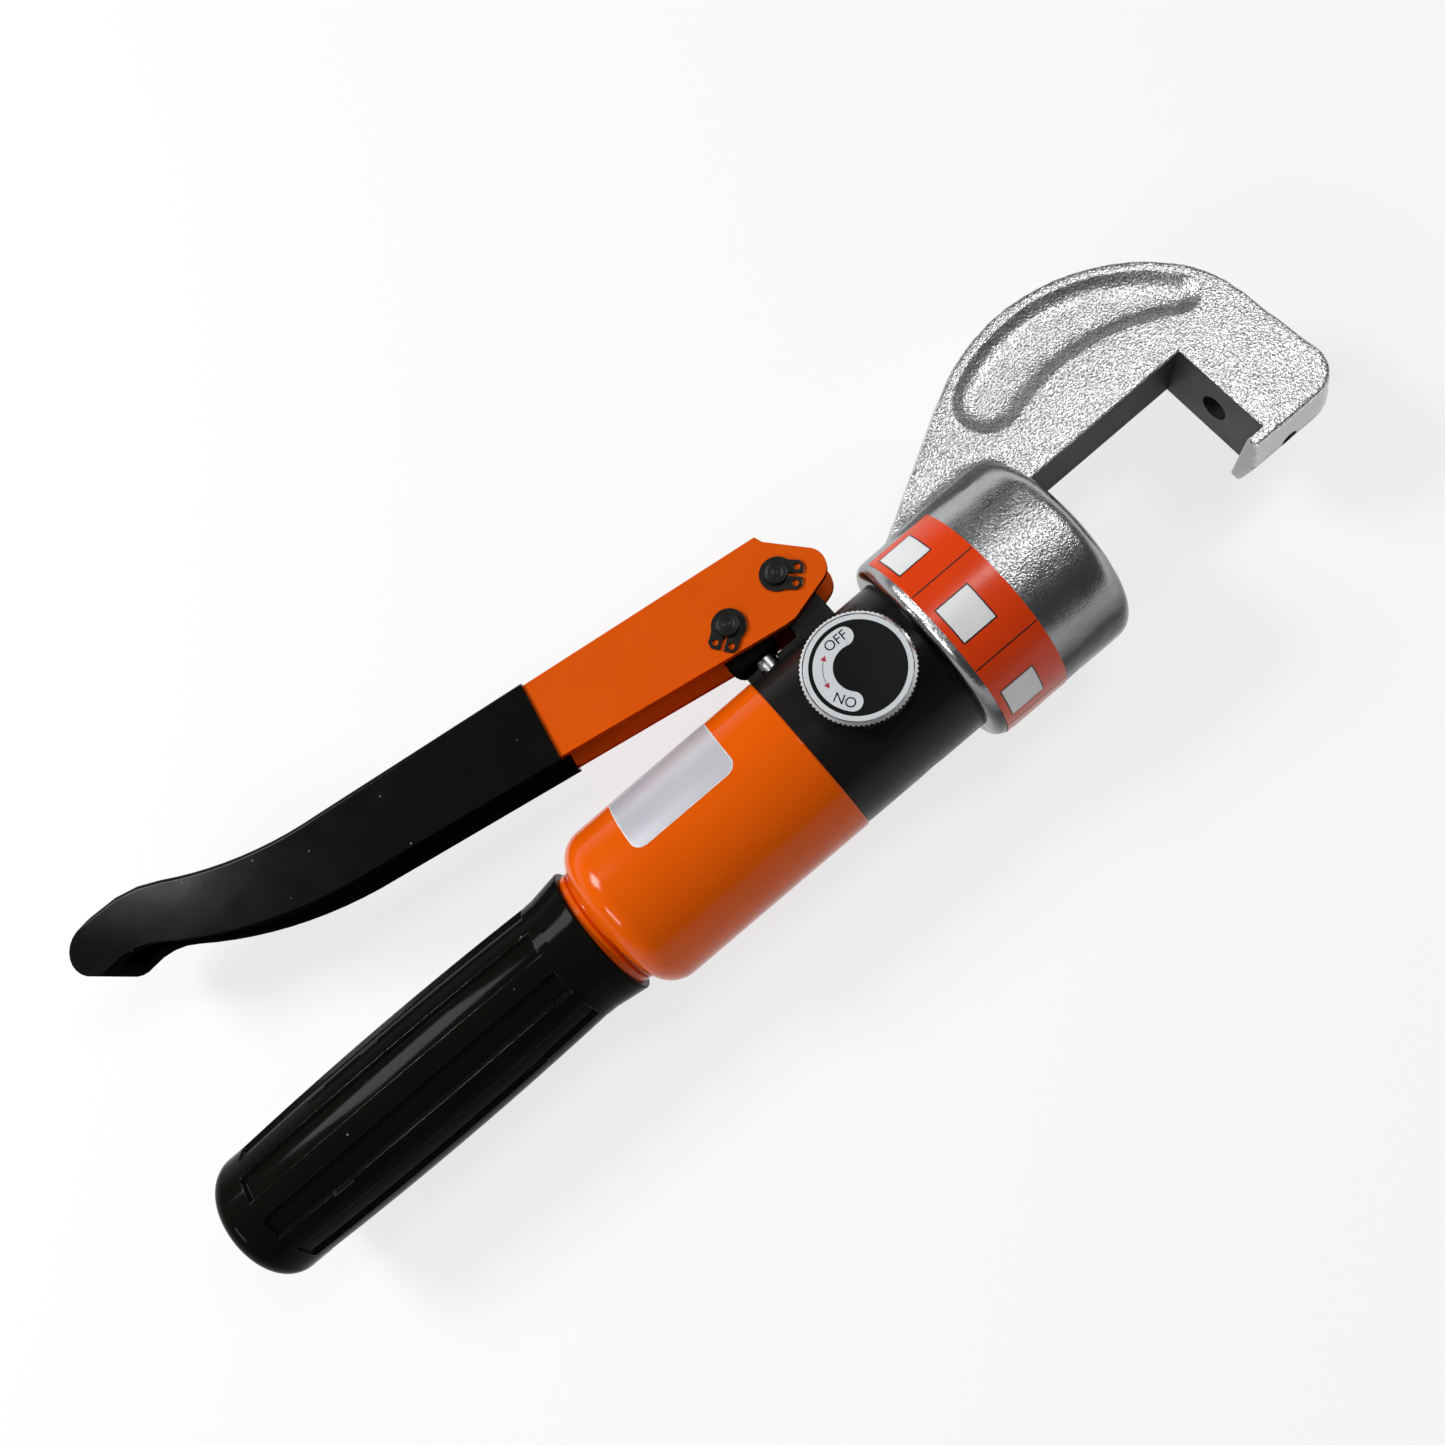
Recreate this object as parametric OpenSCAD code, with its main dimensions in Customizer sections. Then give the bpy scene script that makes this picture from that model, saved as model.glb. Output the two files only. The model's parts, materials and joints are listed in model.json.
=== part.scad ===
// Hand-operated hydraulic crimping tool: a forged C-head screwed on a pump block, a painted
// sleeve and fluted grip around the oil bladder, and a pressed-steel lever that pumps.
// X runs along the ram towards the head, +Y points to the lever and +Z to the release knob.
// The origin is at the mouth of the die peg hole in the fixed jaw.

/* [Head] */
// Clear gap between the fixed jaw seat and the collar
jaw_gap = 42; // [38:0.5:48]
// Thickness of the forged head
head_t = 17.6; // [15.5:0.2:20]
// Distance from the ram axis to the inner wall of the spine
spine_y = 11.8; // [11:0.1:13]
// Radius of the crown, the large outer arc of the head
crown_r = 41; // [39:0.5:45]
// Distance of the crown's centre behind the jaw seat
crown_back = 20.2; // [19:0.1:22]
// Height of the crown's centre above the ram axis
crown_rise = 2.6; // [2:0.1:4]
// Slope of the straight arm between collar and crown
arm_slope = 30; // [28:0.5:32]
// Radius of the shoulder between crown and jaw end
shoulder_r = 26; // [22:0.5:30]
// Angle where the shoulder leaves the crown
shoulder_at = 38; // [34:1:42]
// Lean of the jaw's outer end
jaw_lean = 3.5; // [2:0.5:5]
// Corner radius of the jaw tip
tip_r = 6.5; // [4:0.5:8]
// Distance from the ram axis to the jaw's end face
tip_y = 13.4; // [12.8:0.1:15]
// How far the parting line stands proud of the faces
draft = 1.8; // [0.8:0.1:2.4]
// Length of the lip that hooks behind the die
lip_len = 4.1; // [3:0.1:6]
// Distance from the ram axis to the inside of the lip
lip_y = 11; // [10:0.1:11.4]
// Bore of the die peg hole in the jaw
die_hole_d = 6.2; // [5:0.1:8]
// Depth of the die peg hole in the jaw
die_hole_depth = 12; // [9:0.5:13]
// Diameter of the die lock screw
lock_screw_d = 4; // [3:0.5:5]
// Distance of the die lock screw behind the jaw seat
lock_screw_x = 5.6; // [4:0.1:7]

/* [Head recess] */
// Depth of the crescent recess in each face
recess_depth = 1.8; // [1:0.1:2.5]
// Width of the rim between recess and crown
recess_rim = 2.3; // [2:0.1:4]
// Radius of the recess end near the collar
recess_root_r = 7.2; // [6:0.1:8]
// Crown angle of the recess end near the collar
recess_root_at = 117; // [112:1:120]
// Radius of the recess end near the jaw
recess_jaw_r = 4.4; // [3.5:0.1:5]
// Crown angle of the recess end near the jaw
recess_jaw_at = 33; // [30:1:40]
// Radius of the recess's inner arc
recess_inner_r = 42; // [38:1:50]
// Run of the recess's sloped wall
recess_slope = 2.2; // [1:0.1:3]

/* [Collar] */
// Outer radius of the collar
collar_r = 22.9; // [22:0.1:24]
// Length of the collar
collar_len = 37; // [34:0.5:40]
// Rounding of the collar's front edge
collar_crown = 4.6; // [3:0.1:6]
// Rounding of the collar's rear rim
collar_rim = 2.6; // [1:0.1:3]
// Fillet between collar and arm
arm_fillet = 3.2; // [1:0.1:4]

/* [Pump block] */
// Radius of the black barrel
barrel_r = 18.8; // [18.4:0.1:19]
// Length of barrel that shows behind the collar
barrel_len = 31; // [30:0.5:34]
// Step from the barrel down to its threaded spigot
spigot_step = 1.4; // [1:0.1:3]
// Length of the front spigot
spigot_len = 22; // [18:0.5:24]
// Step from the barrel down to the tail inside the sleeve
tail_step = 2.4; // [2:0.1:3.3]
// Length of the tail
tail_len = 28; // [27:0.5:32]
// Width of the lever lug along the tool
lug_w = 8.7; // [8:0.1:9.4]
// Height of the flat pad around the plunger above the barrel
pad_rise = 0.7; // [0.5:0.1:1.2]

/* [Ram] */
// Wall of the spigot around the ram's bore
spigot_wall = 4.4; // [3.6:0.1:5.4]
// Depth of the ram bore in the block
ram_bore_depth = 28; // [26:0.5:29]
// Step from the ram's piston down to its rod, which holds the return spring
rod_step = 3; // [2.4:0.1:4]
// Length of the piston head
piston_len = 11; // [10:0.5:12]
// Stroke of the ram
ram_stroke = 16; // [8:0.5:16]
// Bore of the die peg hole in the ram nose
ram_hole_d = 6.2; // [5:0.1:8]
// Depth of the die peg hole in the ram nose
ram_hole_depth = 10; // [6:0.5:14]
// Thickness of the wall in front of the return spring
guide_len = 6; // [5:0.5:8]
// Wire diameter of the return spring
spring_wire = 1.8; // [1.6:0.1:1.9]
// Turns of the return spring
spring_turns = 4; // [3:0.5:4.5]

/* [Sleeve and grip] */
// How far the painted sleeve stands proud of the barrel
sleeve_proud = 0.3; // [0.2:0.1:1.2]
// Length of the painted sleeve
sleeve_len = 54.7; // [50:0.1:60]
// Rounding of the sleeve's rear shoulder
shoulder_round = 7; // [5:0.5:8]
// Wall of the sleeve's short neck around the handle tube
neck_wall = 1.7; // [1.1:0.1:2.2]
// Length of the sleeve's short neck
neck_len = 2.2; // [1:0.1:4]
// Wall of the grip around the handle tube, at the ends of its flutes
grip_wall = 1.9; // [1.7:0.1:2.7]
// Swell of the grip at its middle
grip_belly = 0.8; // [0.2:0.1:1.8]
// Flare of the lip at the front of the grip
lip_flare = 1.1; // [0.6:0.1:1.8]
// Length of the grip
grip_len = 96; // [90:0.5:120]
// Rounding of the grip's end
grip_round = 4.5; // [2:0.5:6]
// Plain length of the grip in front of the flutes
grip_front_len = 10; // [8:0.5:14]
// Plain length of the grip behind the flutes
grip_rear_len = 9; // [7:0.5:14]
// Number of flutes around the grip
flute_count = 8; // [6:1:10]
// Depth of the flutes
flute_depth = 0.9; // [0.4:0.1:1]
// Share of each pitch that the flute takes
flute_share = 0.52; // [0.3:0.01:0.7]
// Outer radius of the handle tube
tube_r = 12.3; // [11.6:0.1:12.4]
// Wall of the handle tube
tube_wall = 1.2; // [0.8:0.1:2]
// Wall of the oil bladder
bladder_wall = 1.2; // [0.8:0.1:2]

/* [Lever] */
// Distance of the lever pivot behind the collar
pivot_back = 11.85; // [11:0.05:12.5]
// Height of the lever pivot above the barrel
pivot_rise = 13.4; // [12.7:0.1:15.2]
// Distance of the plunger pin behind the pivot
pin_back = 14.75; // [14:0.05:16]
// Drop of the plunger pin below the pivot
pin_drop = 1.8; // [1:0.1:2.2]
// Diameter of both pins
pin_d = 5; // [4:0.1:5.4]
// Slope of the lever in the photographed position
lever_slope = 9.6; // [8:0.1:11]
// Outer width of the lever channel
channel_w = 13.8; // [13:0.1:15]
// Thickness of the channel's side plates
plate_t = 1.8; // [1.4:0.1:2]
// Thickness of the channel's web
web_t = 2; // [1.4:0.1:2.2]
// Depth of the channel at the pivot
depth_root = 20.4; // [19.6:0.1:21]
// Depth of the channel where the lever starts to bend
depth_bend = 16.2; // [15:0.1:18]
// Depth of the channel at its tip
depth_tip = 10.6; // [9:0.1:13]
// Straight run of the lever from the pivot
lever_run = 112; // [100:1:120]
// Radius of the lever's outward bend
bend_r = 102; // [90:1:130]
// Angle of the lever's outward bend
bend_deg = 24; // [15:1:28]
// Radius of the curl back at the tip
curl_r = 22; // [18:1:40]
// Angle of the curl back at the tip
curl_deg = 46; // [10:1:60]
// Distance from the pivot to the start of the dipped grip
dip_start = 59; // [50:1:80]
// Thickness of the dipped grip
dip_t = 0.7; // [0.4:0.1:1]

/* [Plunger] */
// Diameter of the plunger rod
rod_d = 5; // [4:0.1:6]
// Distance of the rod's axis in front of the plunger pin
rod_lead = 1.2; // [0.6:0.1:1.5]
// Width of the plunger head along the tool
plunger_w = 11.6; // [11:0.1:12]
// Height of the plunger head's underside above the flat pad
plunger_rise = 2.1; // [1.9:0.1:3.5]

/* [Release knob] */
// Distance of the release valve behind the collar
valve_back = 13.85; // [13.2:0.05:14.2]
// Offset of the release valve towards the lever
valve_y = 1.5; // [0:0.1:2]
// Radius of the release knob
knob_r = 11.5; // [10:0.1:12]
// Height of the knob's top above the barrel
knob_rise = 4.4; // [3.8:0.1:7]
// Number of teeth in the knob's knurl
knurl_count = 72; // [40:1:90]
// Depth of the knob's knurl
knurl_depth = 0.3; // [0.2:0.05:0.5]
// Radius of the knob's label disc
label_r = 10.6; // [9:0.1:11]

/* [Hidden] */
$fn = 96;

// Overrun of every cut past the face that it opens
over = 1;
// Clearance of threads and of pieces that are pushed together
seat_gap = 0.05;
// Running clearance of pistons, rods and pins
run_gap = 0.04;
// Clear gap between pieces that pass without touching
pass_gap = 0.3;

// Radii and heights that follow the barrel and the handle tube
tail_r = barrel_r - tail_step;
spigot_r = barrel_r - spigot_step;
ram_bore_r = spigot_r - spigot_wall;
ram_rod_r = ram_bore_r - rod_step;
sleeve_r = barrel_r + sleeve_proud;
pad_y = barrel_r + pad_rise;
plunger_y = pad_y + plunger_rise;
pivot_y = barrel_r + pivot_rise;
knob_top = barrel_r + knob_rise;
neck_r = tube_r + neck_wall;
grip_waist_r = tube_r + grip_wall;
grip_r = grip_waist_r + grip_belly;
grip_lip_r = grip_waist_r + lip_flare;

// Stations along the tool, from the jaw seat backwards
collar_top = -jaw_gap;
collar_end = collar_top - collar_len;
barrel_end = collar_end - barrel_len;
tail_end = barrel_end - tail_len;
sleeve_end = barrel_end - sleeve_len;
grip_front = sleeve_end - neck_len;
grip_end = grip_front - grip_len;
spigot_end = collar_end + spigot_len;
ram_floor = spigot_end - ram_bore_depth;
guide_face = collar_top - guide_len;
pivot_x = collar_end - pivot_back;
pin_x = pivot_x - pin_back;
pin_y = pivot_y - pin_drop;
rod_x = pin_x + rod_lead;
valve_x = collar_end - valve_back;

// Points of an arc, from angle a to angle b in n steps
function arc(c, r, a, b, n) =
    [for (i = [0:n]) c + r * [cos(a + (b - a) * i / n), sin(a + (b - a) * i / n)]];

// Unit vector square to the outline at point i, pointing out of an anticlockwise outline
function outward(p, i) = let (n = len(p), t = p[(i + 1) % n] - p[(i + n - 1) % n])
    [t[1], -t[0]] / norm(t);

// One layer of a loft: the outline moved in by inset and raised to z
function layer(p, z, inset) =
    [for (i = [0:len(p) - 1]) let (q = p[i] - inset * outward(p, i)) [q[0], q[1], z]];

// Solid through layers [z, inset] of one anticlockwise outline, from low to high
module loft(p, layers) {
    n = len(p);
    m = len(layers);
    polyhedron(
        points = [for (l = layers) each layer(p, l[0], l[1])],
        faces = concat(
            [[for (i = [0:n - 1]) i]],
            [for (k = [0:m - 2], i = [0:n - 1]) each let (a = k * n, j = (i + 1) % n)
                [[a + i, a + n + i, a + n + j], [a + i, a + n + j, a + j]]],
            [[for (i = [n - 1:-1:0]) (m - 1) * n + i]]));
}

// Solid of revolution about the ram axis, from points [radius, x]
module turned(profile) {
    rotate([0, 90, 0]) rotate_extrude() polygon(profile);
}

// Cylinder along X between two stations
module bar_x(x0, x1, r, y = 0, z = 0) {
    translate([x0, y, z]) rotate([0, 90, 0]) cylinder(h = x1 - x0, r = r);
}

// Cylinder along Y between two heights
module bar_y(y0, y1, r, x = 0, z = 0) {
    translate([x, y0, z]) rotate([-90, 0, 0]) cylinder(h = y1 - y0, r = r);
}

// Cylinder along Z between two heights
module bar_z(z0, z1, r, x = 0, y = 0) {
    translate([x, y, z0]) cylinder(h = z1 - z0, r = r);
}

// Ring about the ram axis
module ring_x(x0, x1, r_in, r_out) {
    turned([[r_in, x0], [r_out, x0], [r_out, x1], [r_in, x1]]);
}

// Coil spring along Z with closed tube ends
coil_sides = 6;
coil_steps = 16;
module coil(r, wire, length, turns) {
    steps = coil_steps * turns;
    rise = length - wire;
    points = [for (i = [0:steps], j = [0:coil_sides - 1])
        let (a = 360 * i / coil_steps, b = 360 * j / coil_sides, q = r + wire / 2 * cos(b))
        [q * cos(a), q * sin(a), wire / 2 + rise * i / steps + wire / 2 * sin(b)]];
    polyhedron(points = points, faces = concat(
        [[for (j = [0:coil_sides - 1]) j]],
        [for (i = [0:steps - 1], j = [0:coil_sides - 1])
            each let (a = i * coil_sides, k = (j + 1) % coil_sides)
            [[a + j, a + coil_sides + j, a + coil_sides + k], [a + j, a + coil_sides + k, a + k]]],
        [[for (j = [coil_sides - 1:-1:0]) steps * coil_sides + j]]));
}

// C-head outline: jaw end, shoulder, crown, straight arm, then the stock for the machined jaw
head_stock = 1.5;
arm_bury = 4;
arm_root = collar_end + arm_bury;
crown_c = [-crown_back, crown_rise];
shoulder_c = crown_c + (crown_r - shoulder_r) * [cos(shoulder_at), sin(shoulder_at)];
tip_c_y = tip_r - tip_y;
tip_c = [shoulder_c[0] + (shoulder_r - tip_r - (tip_c_y - shoulder_c[1]) * sin(jaw_lean)) / cos(jaw_lean),
    tip_c_y];
arm_top = crown_c + crown_r * [-sin(arm_slope), cos(arm_slope)];
head_outline = concat(
    [[-lip_len, -tip_y]],
    arc(tip_c, tip_r, -90, jaw_lean, 8),
    arc(shoulder_c, shoulder_r, jaw_lean, shoulder_at, 6),
    arc(crown_c, crown_r, shoulder_at + 6, 90 + arm_slope, 14),
    [[arm_root, arm_top[1] - (arm_top[0] - arm_root) * tan(arm_slope)],
        [arm_root, spine_y - head_stock],
        [-head_stock, spine_y - head_stock],
        [-head_stock, head_stock - lip_y],
        [-lip_len, head_stock - lip_y]]);
face_z = head_t / 2;
head_layers = [[-face_z, 0], [0, -draft], [face_z, 0]];

// Crescent recess: two round ends inside the crown, joined by the inner arc
recess_r = crown_r - recess_rim;
recess_root_c = crown_c + (recess_r - recess_root_r) * [cos(recess_root_at), sin(recess_root_at)];
recess_jaw_c = crown_c + (recess_r - recess_jaw_r) * [cos(recess_jaw_at), sin(recess_jaw_at)];
recess_span = norm(recess_jaw_c - recess_root_c);
recess_dir = (recess_jaw_c - recess_root_c) / recess_span;
recess_reach_root = recess_inner_r + recess_root_r;
recess_reach_jaw = recess_inner_r + recess_jaw_r;
recess_along = (recess_span * recess_span + recess_reach_root * recess_reach_root
    - recess_reach_jaw * recess_reach_jaw) / (2 * recess_span);
recess_down = sqrt(recess_reach_root * recess_reach_root - recess_along * recess_along);
recess_inner_c = recess_root_c + recess_along * recess_dir + recess_down * [recess_dir[1], -recess_dir[0]];
function bearing(v) = atan2(v[1], v[0]);
recess_root_in = bearing(recess_root_c - recess_inner_c);
recess_jaw_in = bearing(recess_jaw_c - recess_inner_c);
recess_outline = concat(
    arc(crown_c, recess_r, recess_jaw_at, recess_root_at, 14),
    arc(recess_root_c, recess_root_r, recess_root_at + 20, recess_root_in + 180, 8),
    arc(recess_inner_c, recess_inner_r, recess_root_in - 3, recess_jaw_in + 3, 10),
    arc(recess_jaw_c, recess_jaw_r, recess_jaw_in - 180, recess_jaw_at - 20, 8));

// Collar profile with a rounded front edge and rear rim
collar_profile = concat(
    [[0, collar_end]],
    arc([collar_r - collar_rim, collar_end + collar_rim], collar_rim, -90, 0, 6),
    arc([collar_r - collar_crown, collar_top - collar_crown], collar_crown, 0, 90, 8),
    [[0, collar_top]]);

// Fillet where the arm's flat face runs into the round collar, sunk a little into both
fillet_sink = 0.1;
fillet_c = [sqrt(pow(collar_r + arm_fillet, 2) - pow(face_z + arm_fillet, 2)), face_z + arm_fillet];
fillet_foot = (collar_r - fillet_sink) / (collar_r + arm_fillet) * fillet_c;
fillet_end = arm_top[0] - (arm_top[1] - fillet_c[0]) / tan(arm_slope);
fillet_from = bearing(-fillet_c) + 360;
module collar_fillet() {
    rotate([90, 0, 90]) translate([0, 0, fillet_end])
        linear_extrude(height = collar_top - collar_crown - fillet_end)
        polygon(concat(
            [fillet_foot],
            arc(fillet_c, arm_fillet, fillet_from, 264, 6),
            [[fillet_c[0], face_z - fillet_sink], [fillet_c[0], face_z - arm_fillet],
                [fillet_c[0] - 2 * arm_fillet, face_z - arm_fillet]]));
}

// Wiper groove in the collar's front wall
wiper_len = 2.4;
wiper_wall = 1.8;
wiper_inset = 2;
wiper_x = collar_top - wiper_inset;
ram_guide_r = ram_rod_r + 2 * run_gap;
lock_hole_top = -die_hole_d / 4;
lock_sink = 2;
jaw_corner_r = 1.2;
// Forged blank: arm, crown and jaw in one with the turned collar
module head_blank() {
    loft(head_outline, head_layers);
    turned(collar_profile);
    collar_fillet();
    mirror([0, 0, 1]) collar_fillet();
}

// Blank with its machined jaw opening and the crescent recess of both faces
module head_milled() {
    difference() {
        difference() {
            head_blank();
            translate([0, 0, -head_t]) linear_extrude(height = 2 * head_t) polygon(concat(
                [[collar_top, -collar_r], [-lip_len, -collar_r], [-lip_len, -lip_y], [0, -lip_y]],
                arc([-jaw_corner_r, spine_y - jaw_corner_r], jaw_corner_r, 0, 90, 4),
                [[collar_top, spine_y]]));
        }
        for (side = [0, 1]) mirror([0, 0, side]) loft(recess_outline,
            [[face_z - recess_depth, recess_slope], [face_z + recess_depth, -recess_slope]]);
    }
}

module c_head() {
    color("silver") difference() {
        difference() {
            head_milled();
            bar_x(-over, die_hole_depth, die_hole_d / 2);
            bar_y(-tip_y - draft - over, lock_hole_top, lock_screw_d / 2, lock_screw_x);
        }
        bar_x(collar_end - over, spigot_end + seat_gap, spigot_r + seat_gap);
        bar_x(spigot_end, guide_face, ram_bore_r);
        bar_x(guide_face - over, collar_top + over, ram_guide_r);
        bar_x(wiper_x - wiper_len, wiper_x, ram_rod_r + wiper_wall);
    }
}

// Grub screw that holds the die peg, sunk in the jaw's end face
lock_socket_share = 0.55;
lock_top = -die_hole_d / 2 - over;
lock_head = -tip_y - draft + lock_sink;
module die_lock_screw() {
    color("dimgray") difference() {
        bar_y(lock_head, lock_top, lock_screw_d / 2 - seat_gap, lock_screw_x);
        translate([lock_screw_x, lock_head - over, 0]) rotate([-90, 0, 0])
            cylinder(h = lock_screw_d / 2 + over, d = lock_screw_d * lock_socket_share, $fn = 6);
    }
}

// Ball valves share one ball, seat and spring size
ball_r = 2.4;
port_r = 1.2;
valve_bore_r = 3.2;
valve_wire = 0.7;
valve_turns = 3;
valve_spring_len = 4;
ball_seat = sqrt(ball_r * ball_r - port_r * port_r);

// Pump chamber and the ports drilled around it, the cross drillings a size smaller
chamber_y = 1.5;
drill_r = 1;
drill_lift = 0.4;
port_y = chamber_y + port_r + drill_lift;
rod_clear = 2;
rod_bottom = chamber_y + rod_clear;
gland_r = 4.6;
gland_top = pad_y + pass_gap;
gland_len = 5.6;
seal_len = 2;
gland_bottom = gland_top - gland_len;
chamber_r = rod_d / 2 + run_gap;

// Suction valve along the tail
suction_inset = 4;
suction_x = barrel_end - suction_inset;
suction_ball_x = suction_x - valve_spring_len - ball_r;
suction_seat_x = suction_ball_x - ball_seat;
suction_seat_len = 8;

// Delivery valve, entered from the underside
delivery_z = -5;
delivery_ball_z = delivery_z - ball_seat;
delivery_spring_z = delivery_ball_z - ball_r;
delivery_plug_z = delivery_spring_z - valve_spring_len;
delivery_port_z = delivery_ball_z - port_r;

// Relief valve, entered from the side away from the lever
relief_z = -4;
relief_y = -3;
relief_ball_y = relief_y - ball_seat;
relief_spring_y = relief_ball_y - ball_r;
relief_screw_y = relief_spring_y - valve_spring_len;
plug_sink = 0.6;

// Release valve needle
needle_r = 4;
needle_seat_z = 6;
release_port_z = 2.5;
needle_bore_r = needle_r + run_gap;

// Height of the barrel's surface at a sideways offset
function barrel_at(offset) = sqrt(barrel_r * barrel_r - offset * offset);

lug_shift = 0.6;
lug_x = pivot_x - lug_shift;
lug_top_r = lug_w / 2;
pad_w = 10.4;
pad_front = lug_x - lug_w / 2;
plate_gap = 0.35;
lug_t = channel_w - 2 * plate_t - 2 * plate_gap;
o_ring_len = 2.2;
o_ring_depth = 1.4;
spigot_groove_inset = 5;
spigot_groove_x = collar_end + spigot_groove_inset;
module cylinder_block() {
    color("#1b1b1b") difference() {
        union() {
            bar_x(collar_end, spigot_end, spigot_r);
            bar_x(barrel_end, collar_end, barrel_r);
            bar_x(tail_end, barrel_end, tail_r);
            translate([lug_x - lug_w / 2, 0, -lug_t / 2]) cube([lug_w, pivot_y, lug_t]);
            bar_z(-lug_t / 2, lug_t / 2, lug_top_r, lug_x, pivot_y);
            translate([barrel_end, 0, -pad_w / 2]) cube([pad_front - barrel_end, pad_y, pad_w]);
        }
        bar_x(ram_floor, spigot_end + over, ram_bore_r);
        ring_x(spigot_groove_x, spigot_groove_x + o_ring_len, spigot_r - o_ring_depth, spigot_r + over);
        bar_z(-lug_t, lug_t, pin_d / 2 + run_gap, pivot_x, pivot_y);
        bar_y(chamber_y, pad_y + over, chamber_r, rod_x);
        bar_y(gland_bottom - seal_len, pad_y + over, gland_r + seat_gap, rod_x);
        bar_x(tail_end - over, suction_x, valve_bore_r, port_y);
        bar_x(suction_x - over, rod_x, port_r, port_y);
        bar_z(delivery_z - over, 0, port_r, rod_x, port_y);
        bar_z(-barrel_r - over, delivery_z, valve_bore_r, rod_x, port_y);
        bar_x(rod_x, ram_floor + over, drill_r, port_y, delivery_port_z);
        bar_x(valve_x, ram_floor + over, drill_r, 0, relief_z);
        bar_y(relief_y - over, port_r, port_r, valve_x, relief_z);
        bar_y(-barrel_r - over, relief_y, valve_bore_r, valve_x, relief_z);
        bar_x(tail_end - over, valve_x, drill_r, relief_spring_y, relief_z);
        bar_x(valve_x, ram_floor + over, drill_r, valve_y, release_port_z);
        bar_z(release_port_z - port_r, needle_seat_z + over, port_r, valve_x, valve_y);
        bar_z(needle_seat_z, barrel_r + over, needle_bore_r, valve_x, valve_y);
        bar_x(tail_end - over, valve_x, drill_r, valve_y, needle_seat_z + port_r);
    }
}

module spigot_o_ring() {
    color("#111111") ring_x(spigot_groove_x + seat_gap, spigot_groove_x + o_ring_len - seat_gap,
        spigot_r - o_ring_depth + seat_gap, spigot_r);
}

// Ram: piston head with its seal groove, rod, and a die peg hole in the nose
ram_back = ram_floor + pass_gap;
piston_face = ram_back + piston_len;
nose_sink = 0.6;
ram_nose = collar_top - nose_sink;
piston_r = ram_bore_r - run_gap;
groove_len = 5.4;
groove_depth = 2.4;
groove_x = ram_back + (piston_len - groove_len) / 2;
backup_len = 1.4;
nose_chamfer = 0.8;
module ram_piston() {
    color("lightgray") difference() {
        union() {
            turned([[0, ram_back], [piston_r - nose_chamfer, ram_back], [piston_r, ram_back + nose_chamfer],
                [piston_r, groove_x], [piston_r - groove_depth, groove_x],
                [piston_r - groove_depth, groove_x + groove_len], [piston_r, groove_x + groove_len],
                [piston_r, piston_face], [0, piston_face]]);
            turned([[0, piston_face - over], [ram_rod_r, piston_face - over],
                [ram_rod_r, ram_nose - nose_chamfer], [ram_rod_r - nose_chamfer, ram_nose], [0, ram_nose]]);
        }
        bar_x(ram_nose - ram_hole_depth, ram_nose + over, ram_hole_d / 2);
    }
}

module ram_seal() {
    color("#20304a") ring_x(groove_x, groove_x + groove_len - backup_len,
        piston_r - groove_depth, piston_r);
}

module ram_backup_ring() {
    color("ivory") ring_x(groove_x + groove_len - backup_len, groove_x + groove_len,
        piston_r - groove_depth, piston_r);
}

spring_r = (ram_rod_r + ram_bore_r) / 2;
module ram_return_spring() {
    color("slategray") translate([piston_face, 0, 0]) rotate([0, 90, 0])
        coil(spring_r, spring_wire, guide_face - piston_face, spring_turns);
}

module ram_wiper() {
    color("#223a55") ring_x(wiper_x - wiper_len + seat_gap, wiper_x - seat_gap,
        ram_rod_r + run_gap, ram_rod_r + wiper_wall - seat_gap);
}

// Pump: threaded gland over its seal, and the plunger with its slotted head
gland_chamfer = 0.5;
module pump_gland() {
    color("#3a3a3a") translate([rod_x, 0, 0]) rotate([-90, 0, 0]) rotate_extrude() polygon([
        [chamber_r, gland_bottom], [gland_r, gland_bottom], [gland_r, gland_top - gland_chamfer],
        [gland_r - gland_chamfer, gland_top], [chamber_r, gland_top]]);
}

module plunger_seal() {
    color("#111111") translate([rod_x, 0, 0]) rotate([-90, 0, 0]) rotate_extrude() polygon([
        [chamber_r, gland_bottom - seal_len], [gland_r, gland_bottom - seal_len],
        [gland_r, gland_bottom], [chamber_r, gland_bottom]]);
}

plunger_round = 3;
pin_slot_gap = 0.2;
pin_slot_run = 1;
module pump_plunger() {
    color("#2a2a2a") difference() {
        union() {
            bar_y(rod_bottom, plunger_y + over, rod_d / 2, rod_x);
            translate([0, 0, -lug_t / 2]) linear_extrude(height = lug_t) polygon(concat(
                arc([pin_x - plunger_w / 2 + plunger_round, plunger_y + plunger_round],
                    plunger_round, 180, 270, 5),
                arc([pin_x + plunger_w / 2 - plunger_round, plunger_y + plunger_round],
                    plunger_round, 270, 360, 5),
                arc([pin_x, pin_y], plunger_w / 2, 0, 180, 16)));
        }
        bar_z(-lug_t, lug_t, pin_d / 2 + pin_slot_gap, pin_x, pin_y);
        bar_z(-lug_t, lug_t, pin_d / 2 + pin_slot_gap, pin_x + pin_slot_run, pin_y);
        translate([pin_x, pin_y - pin_d / 2 - pin_slot_gap, -lug_t])
            cube([pin_slot_run, pin_d + 2 * pin_slot_gap, 2 * lug_t]);
    }
}

// Valve balls, springs and plugs
module valve_coil() {
    coil(valve_bore_r - valve_wire, valve_wire, valve_spring_len, valve_turns);
}

module suction_ball() {
    color("gainsboro") translate([suction_ball_x, port_y, 0]) sphere(r = ball_r);
}

module suction_spring() {
    color("slategray") translate([suction_ball_x + ball_r, port_y, 0]) rotate([0, 90, 0]) valve_coil();
}

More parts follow.
